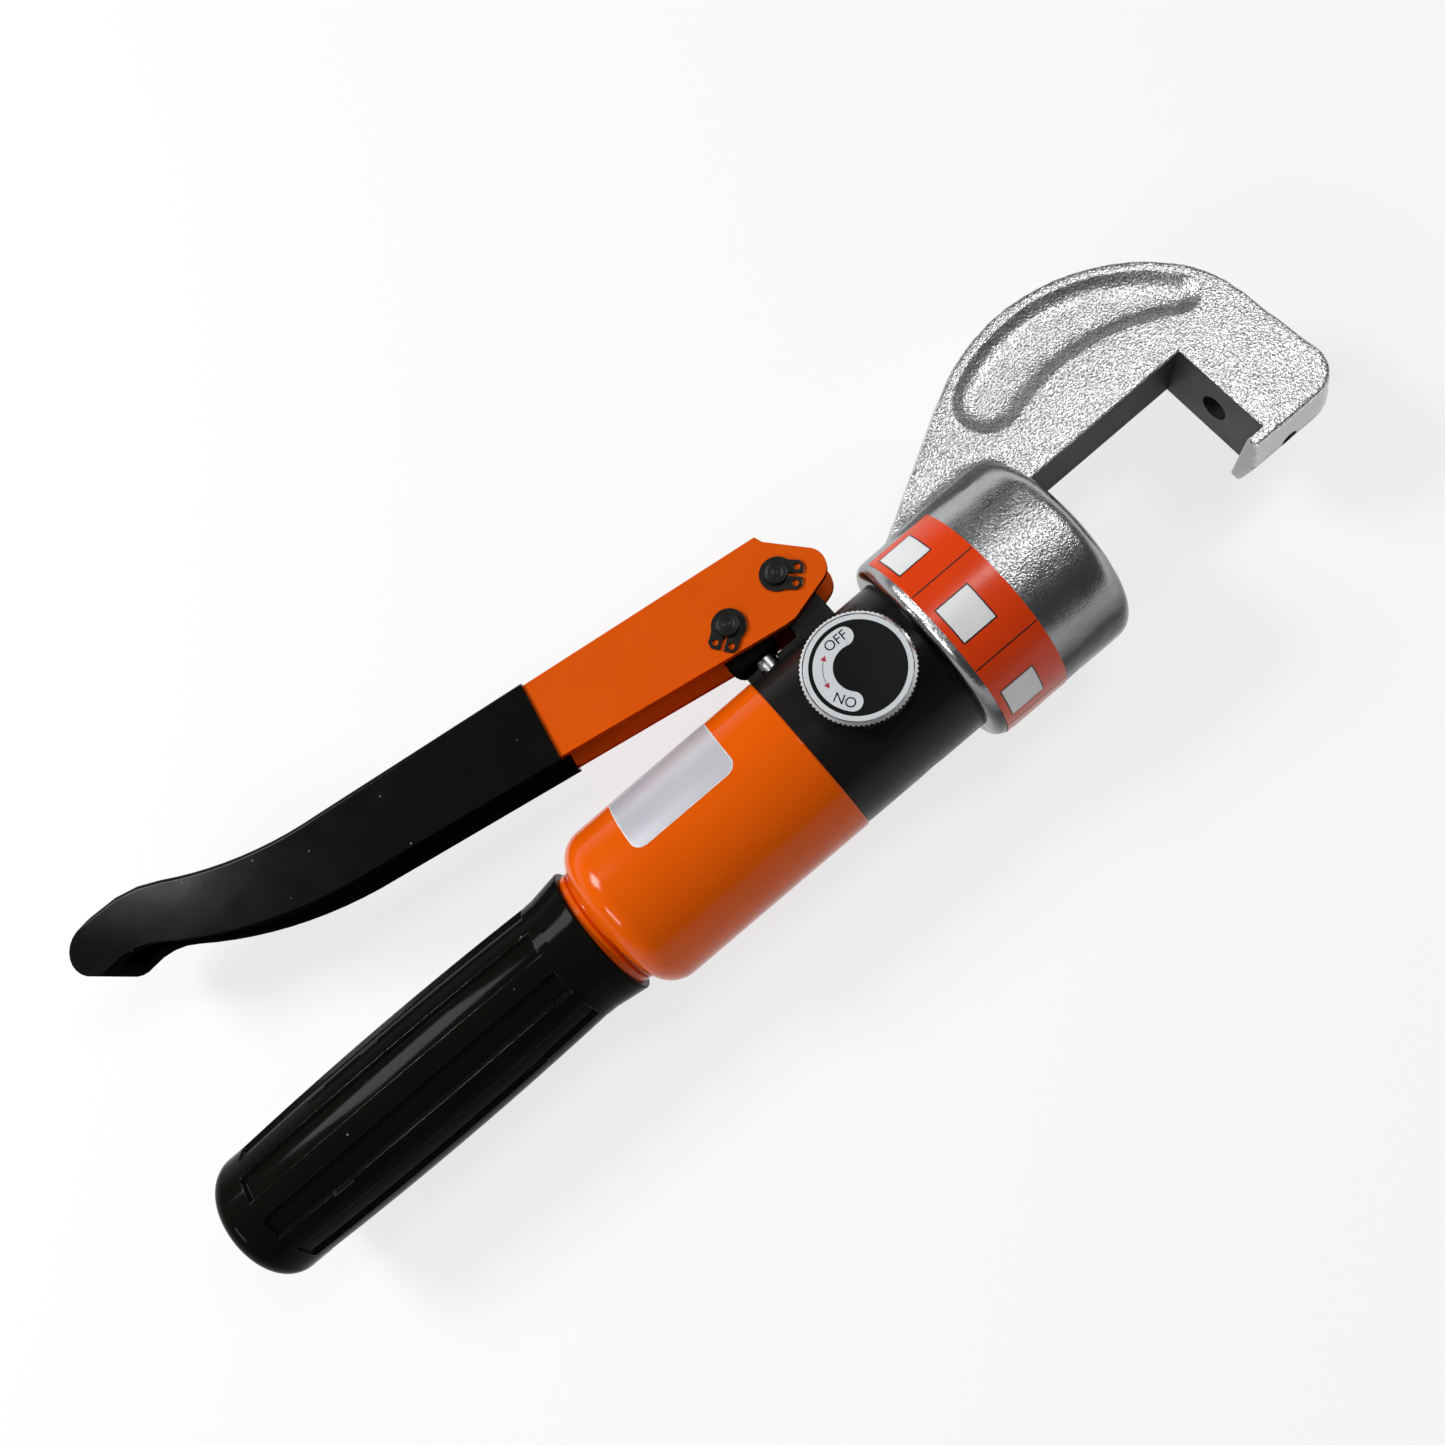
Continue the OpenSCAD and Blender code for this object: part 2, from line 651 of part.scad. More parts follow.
module suction_seat() {
    color("darkgray") difference() {
        bar_x(suction_seat_x - suction_seat_len, suction_seat_x, valve_bore_r - seat_gap, port_y);
        bar_x(suction_seat_x - suction_seat_len - over, suction_seat_x + over, port_r, port_y);
    }
}

strainer_len = 3;
strainer_wall = 0.6;
strainer_end = suction_seat_x - suction_seat_len;
module suction_strainer() {
    color("goldenrod") difference() {
        bar_x(strainer_end - strainer_len, strainer_end, valve_bore_r - seat_gap, port_y);
        bar_x(strainer_end - strainer_len + strainer_wall, strainer_end + over,
            valve_bore_r - strainer_wall, port_y);
    }
}

module delivery_ball() {
    color("gainsboro") translate([rod_x, port_y, delivery_ball_z]) sphere(r = ball_r);
}

module delivery_spring() {
    color("slategray") translate([rod_x, port_y, delivery_plug_z]) valve_coil();
}

socket_share = 0.5;
module delivery_plug() {
    color("#333333") difference() {
        bar_z(plug_sink - barrel_at(port_y), delivery_plug_z, valve_bore_r - seat_gap, rod_x, port_y);
        translate([rod_x, port_y, -barrel_r])
            cylinder(h = valve_bore_r, r = valve_bore_r * socket_share, $fn = 6);
    }
}

module relief_ball() {
    color("gainsboro") translate([valve_x, relief_ball_y, relief_z]) sphere(r = ball_r);
}

module relief_spring() {
    color("slategray") translate([valve_x, relief_screw_y, relief_z]) rotate([-90, 0, 0]) valve_coil();
}

module relief_screw() {
    color("#333333") difference() {
        bar_y(plug_sink - barrel_at(relief_z), relief_screw_y, valve_bore_r - seat_gap, valve_x, relief_z);
        translate([valve_x, -barrel_r, relief_z]) rotate([-90, 0, 0])
            cylinder(h = valve_bore_r, r = valve_bore_r * socket_share, $fn = 6);
    }
}

// Release valve: needle with its seal, knurled knob and label disc
knob_lift = 0.5;
knob_base = barrel_r + knob_lift;
label_t = 0.4;
knob_bevel = 0.7;
needle_groove_up = 5;
needle_groove_z = needle_seat_z + needle_groove_up;
stem_bury = 2;
knob_stem_top = knob_base + stem_bury;
needle_tip_r = port_r - run_gap;
module release_needle() {
    color("gainsboro") translate([valve_x, valve_y, 0]) rotate_extrude() polygon([
        [0, needle_seat_z], [needle_tip_r, needle_seat_z],
        [needle_r, needle_seat_z + needle_r - needle_tip_r], [needle_r, needle_groove_z],
        [needle_r - o_ring_depth, needle_groove_z], [needle_r - o_ring_depth, needle_groove_z + o_ring_len],
        [needle_r, needle_groove_z + o_ring_len], [needle_r, knob_stem_top], [0, knob_stem_top]]);
}

module needle_o_ring() {
    color("#111111") translate([valve_x, valve_y, 0]) rotate_extrude() polygon([
        [needle_r - o_ring_depth, needle_groove_z], [needle_r, needle_groove_z],
        [needle_r, needle_groove_z + o_ring_len], [needle_r - o_ring_depth, needle_groove_z + o_ring_len]]);
}

module release_knob() {
    color("silver") translate([valve_x, valve_y, 0]) difference() {
        intersection() {
            translate([0, 0, knob_base]) linear_extrude(height = knob_top - knob_base)
                polygon([for (i = [0:2 * knurl_count - 1]) let (a = 180 * i / knurl_count)
                    (knob_r - knurl_depth * (i % 2)) * [cos(a), sin(a)]]);
            rotate_extrude() polygon([[0, knob_base - over], [knob_r + over, knob_base - over],
                [knob_r + over, knob_top - knob_bevel - over], [knob_r - knob_bevel - over, knob_top + over],
                [0, knob_top + over]]);
        }
        bar_z(knob_base - over, knob_stem_top, needle_r);
        bar_z(knob_top - label_t, knob_top + over, label_r);
    }
}

module knob_label() {
    color("#c9cdd0") bar_z(knob_top - label_t, knob_top, label_r - seat_gap, valve_x, valve_y);
}

// Painted sleeve: a tube over the tail that closes to a short neck
flange_len = 4;
bladder_lip = 1.6;
flange_back = tail_end - bladder_lip - flange_len;
sleeve_edge = 0.5;
neck_step = 0.6;
neck_groove = 0.7;
// The shoulder's arc runs down to the neck's groove, or nearly square to the axis on a tall shoulder
shoulder_end_share = 0.17;
shoulder_drop = sleeve_r - neck_r + neck_groove;
shoulder_deg = acos(max(shoulder_end_share, 1 - shoulder_drop / shoulder_round));
module body_sleeve() {
    color("#d8550a") turned(concat(
        [[tail_r + seat_gap, barrel_end], [sleeve_r - sleeve_edge, barrel_end],
            [sleeve_r, barrel_end - sleeve_edge]],
        arc([sleeve_r - shoulder_round, sleeve_end + shoulder_round], shoulder_round, 0, -shoulder_deg, 10),
        [[neck_r - neck_groove, sleeve_end], [neck_r, sleeve_end - neck_step], [neck_r, grip_front],
            [tube_r + seat_gap, grip_front], [tube_r + seat_gap, flange_back], [tail_r + seat_gap, flange_back]]));
}

// Handle tube: flanged steel tube that carries the grip
grip_wall_end = 3;
tube_end = grip_end + grip_wall_end;
module handle_tube() {
    color("gray") turned([[tube_r - tube_wall, tail_end - bladder_lip], [tail_r, tail_end - bladder_lip],
        [tail_r, flange_back], [tube_r, flange_back], [tube_r, tube_end], [tube_r - tube_wall, tube_end]]);
}

// Oil bladder: a rubber bag with a lip that the handle tube clamps on the block
bladder_gap = 0.3;
bladder_r = tube_r - tube_wall - bladder_gap;
bladder_inner = bladder_r - bladder_wall;
bladder_back = tube_end + bladder_r;
module oil_bladder() {
    color("#262626") turned(concat(
        [[bladder_inner, tail_end], [tail_r, tail_end], [tail_r, tail_end - bladder_lip],
            [bladder_r, tail_end - bladder_lip]],
        arc([0, bladder_back], bladder_r, 0, -90, 8),
        arc([0, bladder_back], bladder_inner, -90, 0, 8)));
}

// Moulded grip: barrel-shaped, with a flared lip, long flutes and a closed round end
flute_front = grip_front - grip_front_len;
flute_back = grip_end + grip_rear_len;
flute_mid = (flute_front + flute_back) / 2;
flute_half = (flute_front - flute_back) / 2;
grip_crown = grip_r - grip_waist_r;
function grip_at(x) = grip_r - grip_crown * pow((x - flute_mid) / flute_half, 2);
barrel_steps = 12;
function barrel_line(inset) = [for (i = [0:barrel_steps])
    let (x = flute_front - 2 * flute_half * i / barrel_steps) [grip_at(x) - inset, x]];
lip_mid_share = 0.3;
module grip_sleeve() {
    color("#141414") difference() {
        turned(concat(
            [[tube_r + seat_gap, grip_front], [grip_lip_r, grip_front],
                [grip_waist_r + lip_flare * lip_mid_share, grip_front - grip_front_len / 2]],
            barrel_line(0),
            arc([grip_waist_r - grip_round, grip_end + grip_round], grip_round, 0, -90, 8),
            [[0, grip_end], [0, tube_end], [tube_r + seat_gap, tube_end]]));
        for (i = [0:flute_count - 1])
            rotate([360 * (i + 0.5 * (1 - flute_share)) / flute_count, 0, 0]) rotate([0, 90, 0])
            rotate_extrude(angle = 360 * flute_share / flute_count)
            polygon(concat(barrel_line(flute_depth),
                [[grip_r + over, flute_back], [grip_r + over, flute_front]]));
    }
}

// Lever spine: straight run, outward bend and curl back, as [x, y, heading] at run s
lever_sag = -0.3;
bend_len = bend_r * bend_deg * PI / 180;
curl_len = curl_r * curl_deg * PI / 180;
lever_len = lever_run + bend_len + curl_len;
bend_end = [-lever_run, lever_sag] + bend_r * [-sin(bend_deg), 1 - cos(bend_deg)];
function spine(s) =
    s <= lever_run ? [-s, lever_sag, 0]
    : s <= lever_run + bend_len ? let (h = (s - lever_run) / bend_r * 180 / PI)
        [-lever_run - bend_r * sin(h), lever_sag + bend_r * (1 - cos(h)), h]
    : let (h = bend_deg - (s - lever_run - bend_len) / curl_r * 180 / PI)
        [bend_end[0] - curl_r * (sin(bend_deg) - sin(h)), bend_end[1] + curl_r * (cos(h) - cos(bend_deg)), h];
function half_depth(s) =
    lookup(s, [[0, depth_root], [lever_run, depth_bend], [lever_len, depth_tip]]) / 2;
function lever_edge(s, side, off) = let (p = spine(s))
    [p[0], p[1]] + side * (half_depth(s) + off) * [sin(p[2]), cos(p[2])];
bend_steps = 10;
curl_steps = 4;
function lever_stations(from, past = 0) = concat([from, lever_run],
    [for (i = [1:bend_steps]) lever_run + bend_len * i / bend_steps],
    [for (i = [1:curl_steps]) lever_run + bend_len + curl_len * i / curl_steps],
    past > 0 ? [lever_len + past] : []);
function edge_line(from, side, off, past = 0) =
    [for (s = lever_stations(from, past)) lever_edge(s, side, off)];
function reversed(p) = [for (i = [len(p) - 1:-1:0]) p[i]];

// Nose of the side plates, in front of the web
nose_c = [5.9, -2];
nose_r = 4.4;
nose_top_deg = 56;
nose_low_deg = -63;
nose_step = [1, -1.9];
chin = [-1.5, -10.2];
chin_run = 4;
nose_front = nose_c[0] + nose_r + over;
channel_outline = concat(
    [[0, half_depth(0) + lever_sag] + nose_step],
    arc(nose_c, nose_r, nose_top_deg, nose_low_deg, 10),
    [chin],
    edge_line(chin_run, -1, 0),
    reversed(edge_line(0, 1, 0)));

// Dipped grip: the channel's outline with a round closed tip
tip_at = spine(lever_len);
grip_outline = concat(
    edge_line(dip_start, 1, dip_t),
    arc([tip_at[0], tip_at[1]], half_depth(lever_len) + dip_t, 90 - tip_at[2], 270 - tip_at[2], 12),
    reversed(edge_line(dip_start, -1, dip_t)));

// Places a shape drawn about the pivot on the tool
module on_lever() {
    translate([pivot_x, pivot_y, 0]) rotate([0, 0, -lever_slope]) children();
}

// Plate of an outline, centred on the lever's plane
module slab(points, width) {
    translate([0, 0, -width / 2]) linear_extrude(height = width) polygon(points);
}

module lever_channel() {
    color("#d8530c") on_lever() difference() {
        slab(channel_outline, channel_w);
        slab(concat([[nose_front, depth_root], [0, depth_root]],
            edge_line(0, 1, -web_t, over), reversed(edge_line(0, -1, over, over)),
            [[nose_front, -depth_root]]), channel_w - 2 * plate_t);
        for (p = [[0, 0], [-pin_back, -pin_drop]])
            rotate([0, 0, lever_slope]) translate([p[0], p[1], -channel_w])
            cylinder(h = 2 * channel_w, r = pin_d / 2 + seat_gap);
    }
}

module lever_grip() {
    color("#161616") on_lever() difference() {
        slab(grip_outline, channel_w + 2 * dip_t);
        slab(channel_outline, channel_w);
        slab(concat(edge_line(dip_start - over, 1, -web_t),
            reversed(edge_line(dip_start - over, -1, over + dip_t))),
            channel_w - 2 * plate_t - 2 * dip_t);
    }
}

// Headless pin with a groove for a circlip at each end
clip_t = 1;
clip_groove = 0.4;
pin_end = 0.9;
pin_half = channel_w / 2 + clip_t + pin_end;
module clip_pin(x, y) {
    r = pin_d / 2;
    groove_r = r - clip_groove;
    low = channel_w / 2;
    high = low + clip_t;
    translate([x, y, 0]) rotate_extrude() polygon([
        [0, -pin_half], [r, -pin_half], [r, -high], [groove_r, -high], [groove_r, -low], [r, -low],
        [r, low], [groove_r, low], [groove_r, high], [r, high], [r, pin_half], [0, pin_half]]);
}

module pivot_pin() {
    color("#1e1e1e") clip_pin(pivot_x, pivot_y);
}

module plunger_pin() {
    color("#1e1e1e") clip_pin(pin_x, pin_y);
}

// External circlip with two drilled lugs, opening along +X before it is turned
clip_r = 3.5;
clip_lug_r = 1.5;
clip_lug_x = 4.2;
clip_lug_y = 1.9;
clip_hole_r = 0.6;
clip_slot = 1;
module circlip() {
    linear_extrude(height = clip_t) difference() {
        union() {
            circle(r = clip_r);
            for (side = [1, -1]) {
                translate([clip_lug_x, side * clip_lug_y]) circle(r = clip_lug_r);
                polygon([[0, side * clip_r], [clip_lug_x, side * (clip_lug_y + clip_lug_r)],
                    [clip_lug_x + clip_lug_r, side * clip_lug_y], [0, 0]]);
            }
        }
        circle(r = pin_d / 2 - clip_groove);
        translate([0, -clip_slot / 2]) square([clip_lug_x + clip_lug_r + over, clip_slot]);
        for (side = [1, -1]) translate([clip_lug_x, side * clip_lug_y]) circle(r = clip_hole_r);
    }
}

// A pair of circlips, one in each groove of a pin
module circlip_pair(x, y, turn) {
    for (side = [0, 1]) translate([x, y, 0]) mirror([0, 0, side])
        translate([0, 0, channel_w / 2]) rotate([0, 0, turn]) circlip();
}

pivot_clip_turn = -45;
plunger_clip_turn = 215;
module pivot_circlips() {
    color("#1e1e1e") circlip_pair(pivot_x, pivot_y, pivot_clip_turn);
}

module plunger_circlips() {
    color("#1e1e1e") circlip_pair(pin_x, pin_y, plunger_clip_turn);
}

c_head();
die_lock_screw();
cylinder_block();
spigot_o_ring();
ram_piston();
ram_seal();
ram_backup_ring();
ram_return_spring();
ram_wiper();
pump_gland();
plunger_seal();
pump_plunger();
suction_ball();
suction_spring();
suction_seat();
suction_strainer();
delivery_ball();
delivery_spring();
delivery_plug();
relief_ball();
relief_spring();
relief_screw();
release_needle();
needle_o_ring();
release_knob();
knob_label();
body_sleeve();
handle_tube();
oil_bladder();
grip_sleeve();
lever_channel();
lever_grip();
pivot_pin();
plunger_pin();
pivot_circlips();
plunger_circlips();
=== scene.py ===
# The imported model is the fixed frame: every piece below is dressed on it, in metres.
import json
import math

import bpy
from mathutils import Matrix, Quaternion, Vector

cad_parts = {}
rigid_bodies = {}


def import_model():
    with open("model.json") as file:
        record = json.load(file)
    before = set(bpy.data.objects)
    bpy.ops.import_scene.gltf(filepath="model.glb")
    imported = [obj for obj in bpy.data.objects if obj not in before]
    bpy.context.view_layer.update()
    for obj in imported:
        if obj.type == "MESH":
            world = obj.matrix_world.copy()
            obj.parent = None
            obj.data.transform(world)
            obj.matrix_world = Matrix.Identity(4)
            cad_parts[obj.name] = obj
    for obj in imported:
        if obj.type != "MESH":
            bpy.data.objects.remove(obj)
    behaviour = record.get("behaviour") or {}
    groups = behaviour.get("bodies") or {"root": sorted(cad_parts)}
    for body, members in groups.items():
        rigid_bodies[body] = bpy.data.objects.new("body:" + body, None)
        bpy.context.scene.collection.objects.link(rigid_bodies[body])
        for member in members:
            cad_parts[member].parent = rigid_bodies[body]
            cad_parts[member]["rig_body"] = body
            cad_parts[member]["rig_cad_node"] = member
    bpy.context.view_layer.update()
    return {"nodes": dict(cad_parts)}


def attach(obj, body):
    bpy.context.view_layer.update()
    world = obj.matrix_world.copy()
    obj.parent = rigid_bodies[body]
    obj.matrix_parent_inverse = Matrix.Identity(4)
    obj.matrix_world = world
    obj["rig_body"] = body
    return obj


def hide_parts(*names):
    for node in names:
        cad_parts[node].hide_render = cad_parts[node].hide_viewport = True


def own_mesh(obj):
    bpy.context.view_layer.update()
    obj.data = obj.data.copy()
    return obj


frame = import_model()

# Camera: above the tool and a little behind its collar, looking down on the near faces
# of head and lever.
camera_data = bpy.data.cameras.new("camera")
camera_data.sensor_width = 36.0
camera_data.lens = 31.142
camera_data.clip_start = 0.01
camera = bpy.data.objects.new("camera", camera_data)
bpy.context.scene.collection.objects.link(camera)
sight_right = Vector((0.7601, -0.6206, -0.19262))
sight_up = Vector((0.64958, 0.73347, 0.20018))
sight_back = Vector((0.01705, -0.27728, 0.96064))
sight_turn = Matrix((sight_right, sight_up, sight_back)).transposed()
camera_place = Matrix.Translation((-0.11528, -0.05637, 0.25530))
camera.matrix_world = camera_place @ sight_turn.to_4x4()
bpy.context.scene.camera = camera
bpy.context.scene.view_settings.view_transform = "Standard"

# Studio: a white table under the tool and a dark room above it, with a large lamp behind
# the lever and two weaker ones, one over the jaw and one beyond the grip.
TABLE_Z = -0.0236
TABLE_GREY, TABLE_GLOW = 0.86, 0.75


def parted(nodes_of, vector):
    """A place or a direction, parted into its X, Y and Z."""
    split = nodes_of.nodes.new("ShaderNodeSeparateXYZ")
    nodes_of.links.new(vector, split.inputs["Vector"])
    return split.outputs


def sums(nodes_of, operation, one, two=None):
    """One sum of two values, each a pattern or a number."""
    node = nodes_of.nodes.new("ShaderNodeMath")
    node.operation = operation
    for place, value in enumerate((one, two)):
        if value is None:
            continue
        if isinstance(value, (int, float)):
            node.inputs[place].default_value = value
        else:
            nodes_of.links.new(value, node.inputs[place])
    return node.outputs[0]


def lamp(name, place, aim, size, power, roll=0):
    """A studio lamp: a rectangle of that size at place, turned towards aim and rolled."""
    light = bpy.data.lights.new(name, "AREA")
    light.shape = "RECTANGLE"
    light.size, light.size_y = size
    light.energy = power
    holder = bpy.data.objects.new(name, light)
    bpy.context.scene.collection.objects.link(holder)
    way = Vector(aim) - Vector(place)
    holder.rotation_mode = "QUATERNION"
    level = way.to_track_quat("-Z", "Y")
    holder.rotation_quaternion = level @ Quaternion((0, 0, 1), math.radians(roll))
    holder.location = place


world = bpy.data.worlds.new("room")
world.use_nodes = True
bpy.context.scene.world = world
room = world.node_tree
room_way = room.nodes.new("ShaderNodeTexCoord").outputs["Generated"]
room_shade = room.nodes.new("ShaderNodeValToRGB")
for stop, height, grey in zip(room_shade.color_ramp.elements, (0.05, 0.26), (0.80, 0.06)):
    stop.position = height
    stop.color = (grey, grey, grey, 1)
room.links.new(parted(room, room_way)["Z"], room_shade.inputs["Fac"])
room.links.new(room_shade.outputs["Color"], room.nodes["Background"].inputs["Color"])

lamp("key_lamp", (-0.52, 0.56, 0.62), (-0.12, 0.0, 0.0), (0.27, 0.27), 6.3)
lamp("jaw_lamp", (0.286, 0.109, 0.84), (-0.02, 0.01, 0.0), (0.42, 0.14), 2.4, 51)
lamp("grip_lamp", (-0.70, -0.06, 0.45), (-0.16, 0.0, 0.0), (0.26, 0.09), 1.4)

bpy.ops.object.select_all(action="DESELECT")
bpy.ops.mesh.primitive_plane_add(size=6.0, location=(0, 0, TABLE_Z))
table = bpy.context.object
table.name = "table"
table_top = bpy.data.materials.new("white table")
table_top.use_nodes = True
tree = table_top.node_tree
tree.nodes.remove(tree.nodes["Principled BSDF"])
matt = tree.nodes.new("ShaderNodeBsdfDiffuse")
matt.inputs["Color"].default_value = (TABLE_GREY, TABLE_GREY, TABLE_GREY, 1)
glow = tree.nodes.new("ShaderNodeEmission")
glow.inputs["Color"].default_value = (1, 1, 1, 1)
lit = tree.nodes.new("ShaderNodeMixShader")
lit.inputs["Fac"].default_value = TABLE_GLOW
seen = tree.nodes.new("ShaderNodeMixShader")
ray = tree.nodes.new("ShaderNodeLightPath").outputs
direct = sums(tree, "MAXIMUM", ray["Is Camera Ray"], ray["Is Glossy Ray"])
mirrored = sums(tree, "MAXIMUM", direct, ray["Is Transmission Ray"])
tree.links.new(matt.outputs[0], lit.inputs[1])
tree.links.new(glow.outputs[0], lit.inputs[2])
tree.links.new(mirrored, seen.inputs["Fac"])
tree.links.new(matt.outputs[0], seen.inputs[1])
tree.links.new(lit.outputs[0], seen.inputs[2])
tree.links.new(seen.outputs[0], tree.nodes["Material Output"].inputs["Surface"])
table.data.materials.append(table_top)

# C-head: one zinc-plated steel forging of crown, arm and collar. Its skin keeps the
# coarse grain of the shot-blasted blank, and the jaw opening is milled out afterwards.
# The collar is screwed on the pump block's spigot.
MM = 0.001
FACE_Z = 8.8
JAW_FLOOR = 11.8
LIP_Y = -11.0
COLLAR_FRONT = -42.0
ARM_LOW, ARM_TOP = 20.5, 25.0
CROWN_X, CROWN_Y, CROWN_R = -20.2, 2.6, 38.4
RECESS_LOW, RECESS_HIGH, RECESS_Y = 6.4, 8.45, 13.5
DIE_R, DIE_DEPTH = 3.1, 12
LOCK_X, LOCK_R = 5.6, 2.0
SPIGOT_R, SPRING_R, RAM_R, WIPER_R = 17.45, 13.0, 10.08, 11.8
EDGE_BREAK = 1.2
nodes = frame["nodes"]


def linear(code):
    """The shader colour of a paint chip, which is written as six hexadecimal digits."""
    parts = [int(code[i : i + 2], 16) / 255 for i in (0, 2, 4)]
    return [p / 12.92 if p <= 0.04045 else ((p + 0.055) / 1.055) ** 2.4 for p in parts] + [1.0]


def finish(name, colour, metallic, roughness):
    """A new finish: its material, node tree, shader and the piece's own coordinates."""
    made = bpy.data.materials.new(name)
    made.use_nodes = True
    nodes_of = made.node_tree
    shader = nodes_of.nodes["Principled BSDF"]
    shader.inputs["Base Color"].default_value = linear(colour)
    shader.inputs["Metallic"].default_value = metallic
    shader.inputs["Roughness"].default_value = roughness
    where = nodes_of.nodes.new("ShaderNodeTexCoord").outputs["Object"]
    return made, nodes_of, shader, where


def facing(nodes_of):
    """The way that a surface faces, parted into its X, Y and Z."""
    return parted(nodes_of, nodes_of.nodes.new("ShaderNodeNewGeometry").outputs["Normal"])


def noise(nodes_of, where, scale, detail=3.0, stretch=None):
    """A cloudy pattern of that many lumps to the metre, drawn out along an axis if wished."""
    if stretch:
        drawn = nodes_of.nodes.new("ShaderNodeMapping")
        drawn.inputs["Scale"].default_value = stretch
        nodes_of.links.new(where, drawn.inputs["Vector"])
        where = drawn.outputs["Vector"]
    cloud = nodes_of.nodes.new("ShaderNodeTexNoise")
    cloud.inputs["Scale"].default_value = scale
    cloud.inputs["Detail"].default_value = detail
    nodes_of.links.new(where, cloud.inputs["Vector"])
    return cloud.outputs["Fac"]


def spread(nodes_of, value, low, high, to_low, to_high):
    """Moves a pattern's range low to high on to another range, held at both ends."""
    node = nodes_of.nodes.new("ShaderNodeMapRange")
    for slot_name, number in zip(
        ("From Min", "From Max", "To Min", "To Max"), (low, high, to_low, to_high)
    ):
        node.inputs[slot_name].default_value = number
    nodes_of.links.new(value, node.inputs["Value"])
    return node.outputs["Result"]


def tint(nodes_of, share, one, two):
    """A colour between two others, each a paint chip or a pattern."""
    node = nodes_of.nodes.new("ShaderNodeMix")
    node.data_type = "RGBA"
    for side, colour in (("A", one), ("B", two)):
        if isinstance(colour, str):
            node.inputs[side].default_value = linear(colour)
        else:
            nodes_of.links.new(colour, node.inputs[side])
    nodes_of.links.new(share, node.inputs["Factor"])
    return node.outputs["Result"]


def mottled(nodes_of, shader, where, scale, detail, dark, light):
    """Lets a finish's colour wander between two paint chips."""
    clouds = noise(nodes_of, where, scale, detail)
    nodes_of.links.new(tint(nodes_of, clouds, dark, light), shader.inputs["Base Color"])


def relief(nodes_of, shader, height, depth, strength):
    """Fine relief of that depth in metres on a finish."""
    bump = nodes_of.nodes.new("ShaderNodeBump")
    bump.inputs["Distance"].default_value = depth
    if isinstance(strength, (int, float)):
        bump.inputs["Strength"].default_value = strength
    else:
        nodes_of.links.new(strength, bump.inputs["Strength"])
    nodes_of.links.new(height, bump.inputs["Height"])
    nodes_of.links.new(bump.outputs["Normal"], shader.inputs["Normal"])


# Flat faces, the arm and the crown keep the blasted grain; the other faces are darker.
zinc, tree, shader, where = finish("blasted zinc plate", "B4B5B7", 1.0, 0.38)
normal, spot = facing(tree), parted(tree, where)
before = spread(tree, spot["X"], (COLLAR_FRONT - 1) * MM, (COLLAR_FRONT + 4) * MM, 0.0, 0.6)
above = spread(tree, spot["Y"], ARM_LOW * MM, ARM_TOP * MM, 0.0, 0.6)
crown = sums(tree, "MAXIMUM", before, above)
level = sums(tree, "ADD", sums(tree, "ABSOLUTE", normal["Z"]), crown)
flat = spread(tree, level, 0.84, 0.97, 0.15, 1.0)
grain = noise(tree, where, 2300, 1.0)
lumps = noise(tree, where, 1000, 1.0)
skin = sums(tree, "ADD", grain, sums(tree, "MULTIPLY", lumps, 0.35))
relief(tree, shader, skin, 0.00016, flat)
# The grain's light and dark flecks are partly real grain and partly painted glints of the
# blasted facets.
pits = sums(tree, "MULTIPLY", sums(tree, "SUBTRACT", grain, 0.5), flat)
blasted = tint(tree, spread(tree, pits, -0.15, 0.15, 0, 1), "9D9EA0", "EAEBEC")
# Painted shade: faces that face neither up nor down are darker, partly a smoother plating and
# partly painted shade, and darkest where they face -Y, away from the key lamp.
upward = spread(tree, level, 0.4, 0.95, 0.0, 1.0)
sides_painted_shade = tint(tree, spread(tree, normal["Y"], -0.9, -0.2, 0, 1), "303133", "7E7F82")
tree.links.new(tint(tree, upward, sides_painted_shade, blasted), shader.inputs["Base Color"])
worn = spread(tree, noise(tree, where, 240, 3), 0.3, 0.7, 0.16, 0.24)
matt_skin = sums(tree, "ADD", worn, sums(tree, "MULTIPLY", flat, 0.17))
tree.links.new(matt_skin, shader.inputs["Roughness"])

milled, tree, shader, where = finish("milled steel", "6E6D6B", 1.0, 0.45)
shader.inputs["Specular Tint"].default_value = (0.25, 0.25, 0.25, 1)
cutter_marks = noise(tree, where, 300, 3, (1.0, 1.0, 0.08))
relief(tree, shader, cutter_marks, 0.0002, 0.25)
mottled(tree, shader, where, 60, 4, "5A5957", "7C7B79")


def copy_of(node, name):
    """A welded copy of a CAD piece without its finish, to be shaped further."""
    bpy.ops.object.select_all(action="DESELECT")
    hidden = nodes[node].hide_viewport
    nodes[node].hide_viewport = False
    nodes[node].select_set(True)
    bpy.context.view_layer.objects.active = nodes[node]
    bpy.ops.object.duplicate()
    nodes[node].hide_viewport = hidden
    piece = bpy.context.object
    piece.name = name
    piece.data.name = name
    piece.parent = None
    piece.hide_render = False
    del piece["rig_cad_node"], piece["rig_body"]
    piece.data.materials.clear()
    bpy.ops.mesh.customdata_custom_splitnormals_clear()
    bpy.ops.object.mode_set(mode="EDIT")
    bpy.ops.mesh.select_all(action="SELECT")
    bpy.ops.mesh.remove_doubles(threshold=0.000004)
    bpy.ops.object.mode_set(mode="OBJECT")
    return piece


def alone(piece):
    """Selects one piece and makes it the active one."""
    bpy.ops.object.select_all(action="DESELECT")
    piece.select_set(True)
    bpy.context.view_layer.objects.active = piece


def settled(name):
    """Names the piece just added, and puts its place, turn and size into its mesh."""
    piece = bpy.context.object
    piece.name = name
    bpy.ops.object.transform_apply(location=True, rotation=True, scale=True)
    return piece


